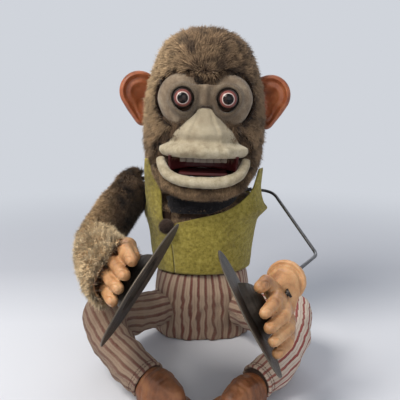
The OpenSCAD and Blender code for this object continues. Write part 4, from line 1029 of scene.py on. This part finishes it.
for which, arm in ARM.items():
    axes = facing(arm["n"])
    hand = soft_copy(which + "_hand_form", which + "_hand", 0.75, 7)
    q = (points_of(hand) - arm["at"]) @ axes.T
    p = q - [0, arm["shift"], PALM]
    p = xyz(p[:, 0], *turned(p[:, 1], p[:, 2], math.radians(-arm["lean"])))
    x, y, z = p.T
    dent = 0.22 * noise_at(q, 6, 2.2) + 0.12 * noise_at(q, 2.6, 4.1)
    for i in range(4):
        at = arm["side"] * FINGER * (i - 1.5)
        top = 1.5 - 0.02 * at * at
        reach = 23 - 1.6 * abs(i - 1.4)
        own = bell(y, at, 3.6) * ease(2, 8, x)
        for f in (0.3, 0.36, 0.62, 0.68):
            dent -= own * bell(x - 0.25 * (z - top), KNUCKLE + reach * f, 0.6) * 0.5
        dent += own * bell(x, KNUCKLE + reach * 0.48, 2.6) * 0.3
        joint, tip = np.array([KNUCKLE + reach * 0.5, at, top - 2.6]), np.array([KNUCKLE + reach, at, -11.5])
        along = unit(tip - joint)
        d = p - tip
        ring = np.hypot(d[:, 1] / 2.7, (d @ along - 0.9) / 2.9)
        dent += nail(ring, ease(0.6, 2.0, d @ np.array([-along[2], 0, along[0]])))
    for i in range(3):
        dent -= bell(y, arm["side"] * FINGER * (i - 1), 0.8) * ease(-3, 8, x) * 0.5
    tip = np.array([16, arm["side"] * arm["thumb"], -9.5])
    ring = np.hypot((x - tip[0] - 0.8) / 2.8, (y - tip[1]) / 2.6)
    dent += nail(ring, ease(0.8, 2.2, z - tip[2]))
    wrist = unit(np.subtract(arm["wire"][1], arm["wire"][0]))
    t = (points_of(hand) - (np.array(arm["wire"][1]) - 5 * wrist)) @ wrist
    dent += -bell(t, 1.6, 0.8) * 1.5 + bell(t, -1.2, 1.8) * 0.6 - bell(t, 5.5, 0.8) * 0.2
    move_points(hand, swollen(hand, dent))
    settle(hand, which + "_arm", "hand_vinyl", hand_vinyl, which + "_hand")

    lip = CYMBAL[::-1, 0] > 43.5
    profile = np.concatenate([CYMBAL, CYMBAL[::-1] + np.stack([np.where(lip, -0.1, 0), np.where(lip, 0.82, 1.0)], 1)])
    row, b = grid(np.arange(len(profile)), around(CYMBAL_COLS))
    r, k = profile[row].T
    wave = 0.16 * np.sin(3 * b + 1) * ease(24, 44, r) + 0.1 * np.sin(7 * b) * ease(30, 44, r)
    verts = arm["at"] + xyz(r * np.cos(b), r * np.sin(b), k + wave) @ axes
    faces = [tuple(k % len(verts) for k in f) for f in grid_faces(len(profile) + 1, CYMBAL_COLS, True)]
    plate = add_mesh(which + "_cymbal_spun", verts * MM, faces, cymbal_steel)
    set_vector(plate, "spun", xyz(r, 0, 0))
    face_outward(plate)
    settle(plate, which + "_cymbal_plate", "cymbal_steel", None, which + "_cymbal")

    foot = soft_copy(which + "_foot_form", "foot_" + which, 0.8, 5)
    q = points_of(foot)
    fx, fy = turned(-arm["side"] * q[:, 0] - FOOT_AT[0], q[:, 1] - FOOT_AT[1], -FOOT_TURN)
    dent = 0.25 * noise_at(q, 8, 3.3) + 0.14 * noise_at(q, 3, 5.2)
    for i in range(5):
        dent -= bell(fy, -9.2 + 4.6 * i, 1.6) * bell(fx, 27 - 0.5 * i * i, 1.0) * 0.35
    for at, depth in ((9, 0.55), (14.5, 0.5), (20.5, 0.4)):
        dent -= bell(fx + 0.25 * fy * np.sin(fy / 6), at, 0.9) * ease(7, 12, q[:, 2]) * depth
    p = swollen(foot, dent * ease(1.0, 3.0, q[:, 2]))
    p[:, 2] = np.maximum(p[:, 2], 0.02)
    move_points(foot, p)
    settle(foot, "torso", "foot_vinyl", foot_vinyl, "foot_" + which)

# Bare wire of the left arm, with rounded bends

WIRE = [(29, 4, 79.4), (29, 4, 120.6), (53, 0, 120.6), (61, -5, 118.6), (85.9, -72, 84.3), (52.1, -132.1, 82.8)]
WIRE_R, WIRE_BEND, WIRE_SIDES = 1.3, 6.0, 20


def rounded(path, radius, steps=10):
    """A path whose corners are eased by short curves."""
    p = np.asarray(path, float)
    out = [p[0]]
    for before, at, after in zip(p, p[1:], p[2:]):
        a, b = (at + unit(w - at) * min(radius, np.linalg.norm(w - at) * 0.45) for w in (before, after))
        out += [(1 - t) ** 2 * a + 2 * t * (1 - t) * at + t * t * b for t in np.linspace(0, 1, steps)]
    return np.array(out + [p[-1]])


path = rounded(WIRE, WIRE_BEND)
across = np.array([1.0, 0, 0])
u, v = [], []
for before, after in zip([path[0], *path], [*path[1:], path[-1]]):
    along = unit(after - before)
    across = unit(across - (across @ along) * along)
    u.append(across)
    v.append(np.cross(along, across))
verts, faces = tube(path, WIRE_R, np.array(u), np.array(v), WIRE_SIDES)
ends = [tuple(range(WIRE_SIDES)), tuple(range(len(verts) - 1, len(verts) - WIRE_SIDES - 1, -1))]
bare = add_mesh("left_wire_bent", verts * MM, faces + ends, wire_steel)
face_outward(bare)
settle(bare, "left_arm", "dark_wire", None, "left_arm_wire")

# Trousers

SEAT_R = 38
seat = soft_copy("trouser_seat_cloth", "trouser_seat", 1.3, 5)
q = points_of(seat)
x, y, z = q.T
fold = noise_at(xyz(x, y, z * 0.5), 10, 1.7) * 1.5 + noise_at(q, 4.5, 6.6) * 0.3
crotch = noise_at(xyz(x * 0.8, y * 0.5, z + np.abs(x) * 0.7), 5.5, 4.4)
fold = fold + crotch * 1.7 * ease(44, 24, z)
outside = ease(29, 33, np.hypot(x, y * 1.08))
sag = outside * ease(26, 9, z) * ease(14, -8, y)
p = swollen(seat, np.clip(fold, -1.1, 1.6) * outside * ease(2, 6, z))
p[:, 2] = np.maximum(p[:, 2] - 9 * sag, np.minimum(z, 0.6))
move_points(seat, p)
slant = crotch * 2.2 * ease(46, 22, z)
set_vector(seat, "weave", xyz(np.arctan2(y, x) * SEAT_R + slant, z + 100, 0))
settle(seat, "torso", "striped_cotton", cotton, "trouser_seat")

LEGS = {"right": dict(side=-1, knee=71, shin_z=27.4, hem=13.4, raised=-112),
        "left": dict(side=1, knee=65, shin_z=21.0, hem=12.2, raised=-92)}
KNEE_Y, KNEE_Z, KNEE_SPREAD = -79, 36, 30
LEG_R, WEAVE_R = 15, 15.5
for which, g in LEGS.items():
    side, knee_x, hem_r = g["side"], g["knee"], g["hem"]
    spine = curve([[side * 26, -14, 24], [side * (knee_x - 20), -46, 28], [side * knee_x, KNEE_Y, KNEE_Z],
                   [side * (knee_x * 0.5 + 25), -110, g["shin_z"]], [side * FOOT_AT[0], FOOT_AT[1], hem_r + 1.8]], 16)
    run = np.concatenate([[0], np.cumsum(np.linalg.norm(np.diff(spine, axis=0), axis=1))])
    tangent = unit(np.gradient(spine, axis=0))
    u = unit(np.cross([0, 0, 1], tangent))
    v = np.cross(tangent, u)
    leg = soft_copy(which + "_leg_cloth", "trouser_leg_" + which, 1.2, 5)
    q = points_of(leg)
    i = nearest(q, spine[::2]) * 2
    off = q - spine[i]
    along = run[i] + (off * tangent[i]).sum(1)
    x, y = (off * u[i]).sum(1), (off * v[i]).sum(1)
    z = q[:, 2]
    radius = np.hypot(x, y)
    turn = np.arctan2(y, x)
    total = run[-1]
    cloth = xyz(turn * LEG_R * 0.4, along, 3.0 * side)
    fold = noise_at(cloth, 8.5, 2.4) * 1.8 + noise_at(xyz(turn * LEG_R, along * 0.35, z * 0.2), 7, 5.1) * 0.8
    crease = -bell(along, total * 0.5, 10) * np.abs(noise_at(cloth, 5, 9.5)) * 1.4
    hem = -bell(along, total - 3.5, 1.2) * 0.45 + ease(total - 2.5, total - 1.2, along) * 0.3
    amount = np.clip(fold + crease, -1.6, 1.5) * ease(total, total - 14, along) + hem
    amount *= ease(hem_r * 0.55, hem_r * 0.8, radius) * ease(0.8, 4, z)
    p = swollen(leg, amount)
    cap = (1 - ease(hem_r - 3.2, hem_r - 1.4, radius)) * ease(total - 3, total - 0.8, along)
    p -= tangent[i] * (cap * 3.5)[:, None]
    knee = np.exp(-((q - [side * knee_x, KNEE_Y, KNEE_Z]) ** 2).sum(1) / KNEE_SPREAD ** 2) * ease(18, 42, z)
    knee *= ease(knee_x - 12, knee_x + 6, side * q[:, 0])
    knee *= ease(g["raised"], g["raised"] + 18, q[:, 1])
    p += knee[:, None] * np.array([side * 3.5, 0, 7.0])
    p[:, 2] = np.maximum(p[:, 2], 0.4)
    move_points(leg, p)
    set_vector(leg, "weave", xyz(turn * WEAVE_R, total - along, cap))
    settle(leg, "torso", "striped_cotton", cotton, "trouser_leg_" + which)
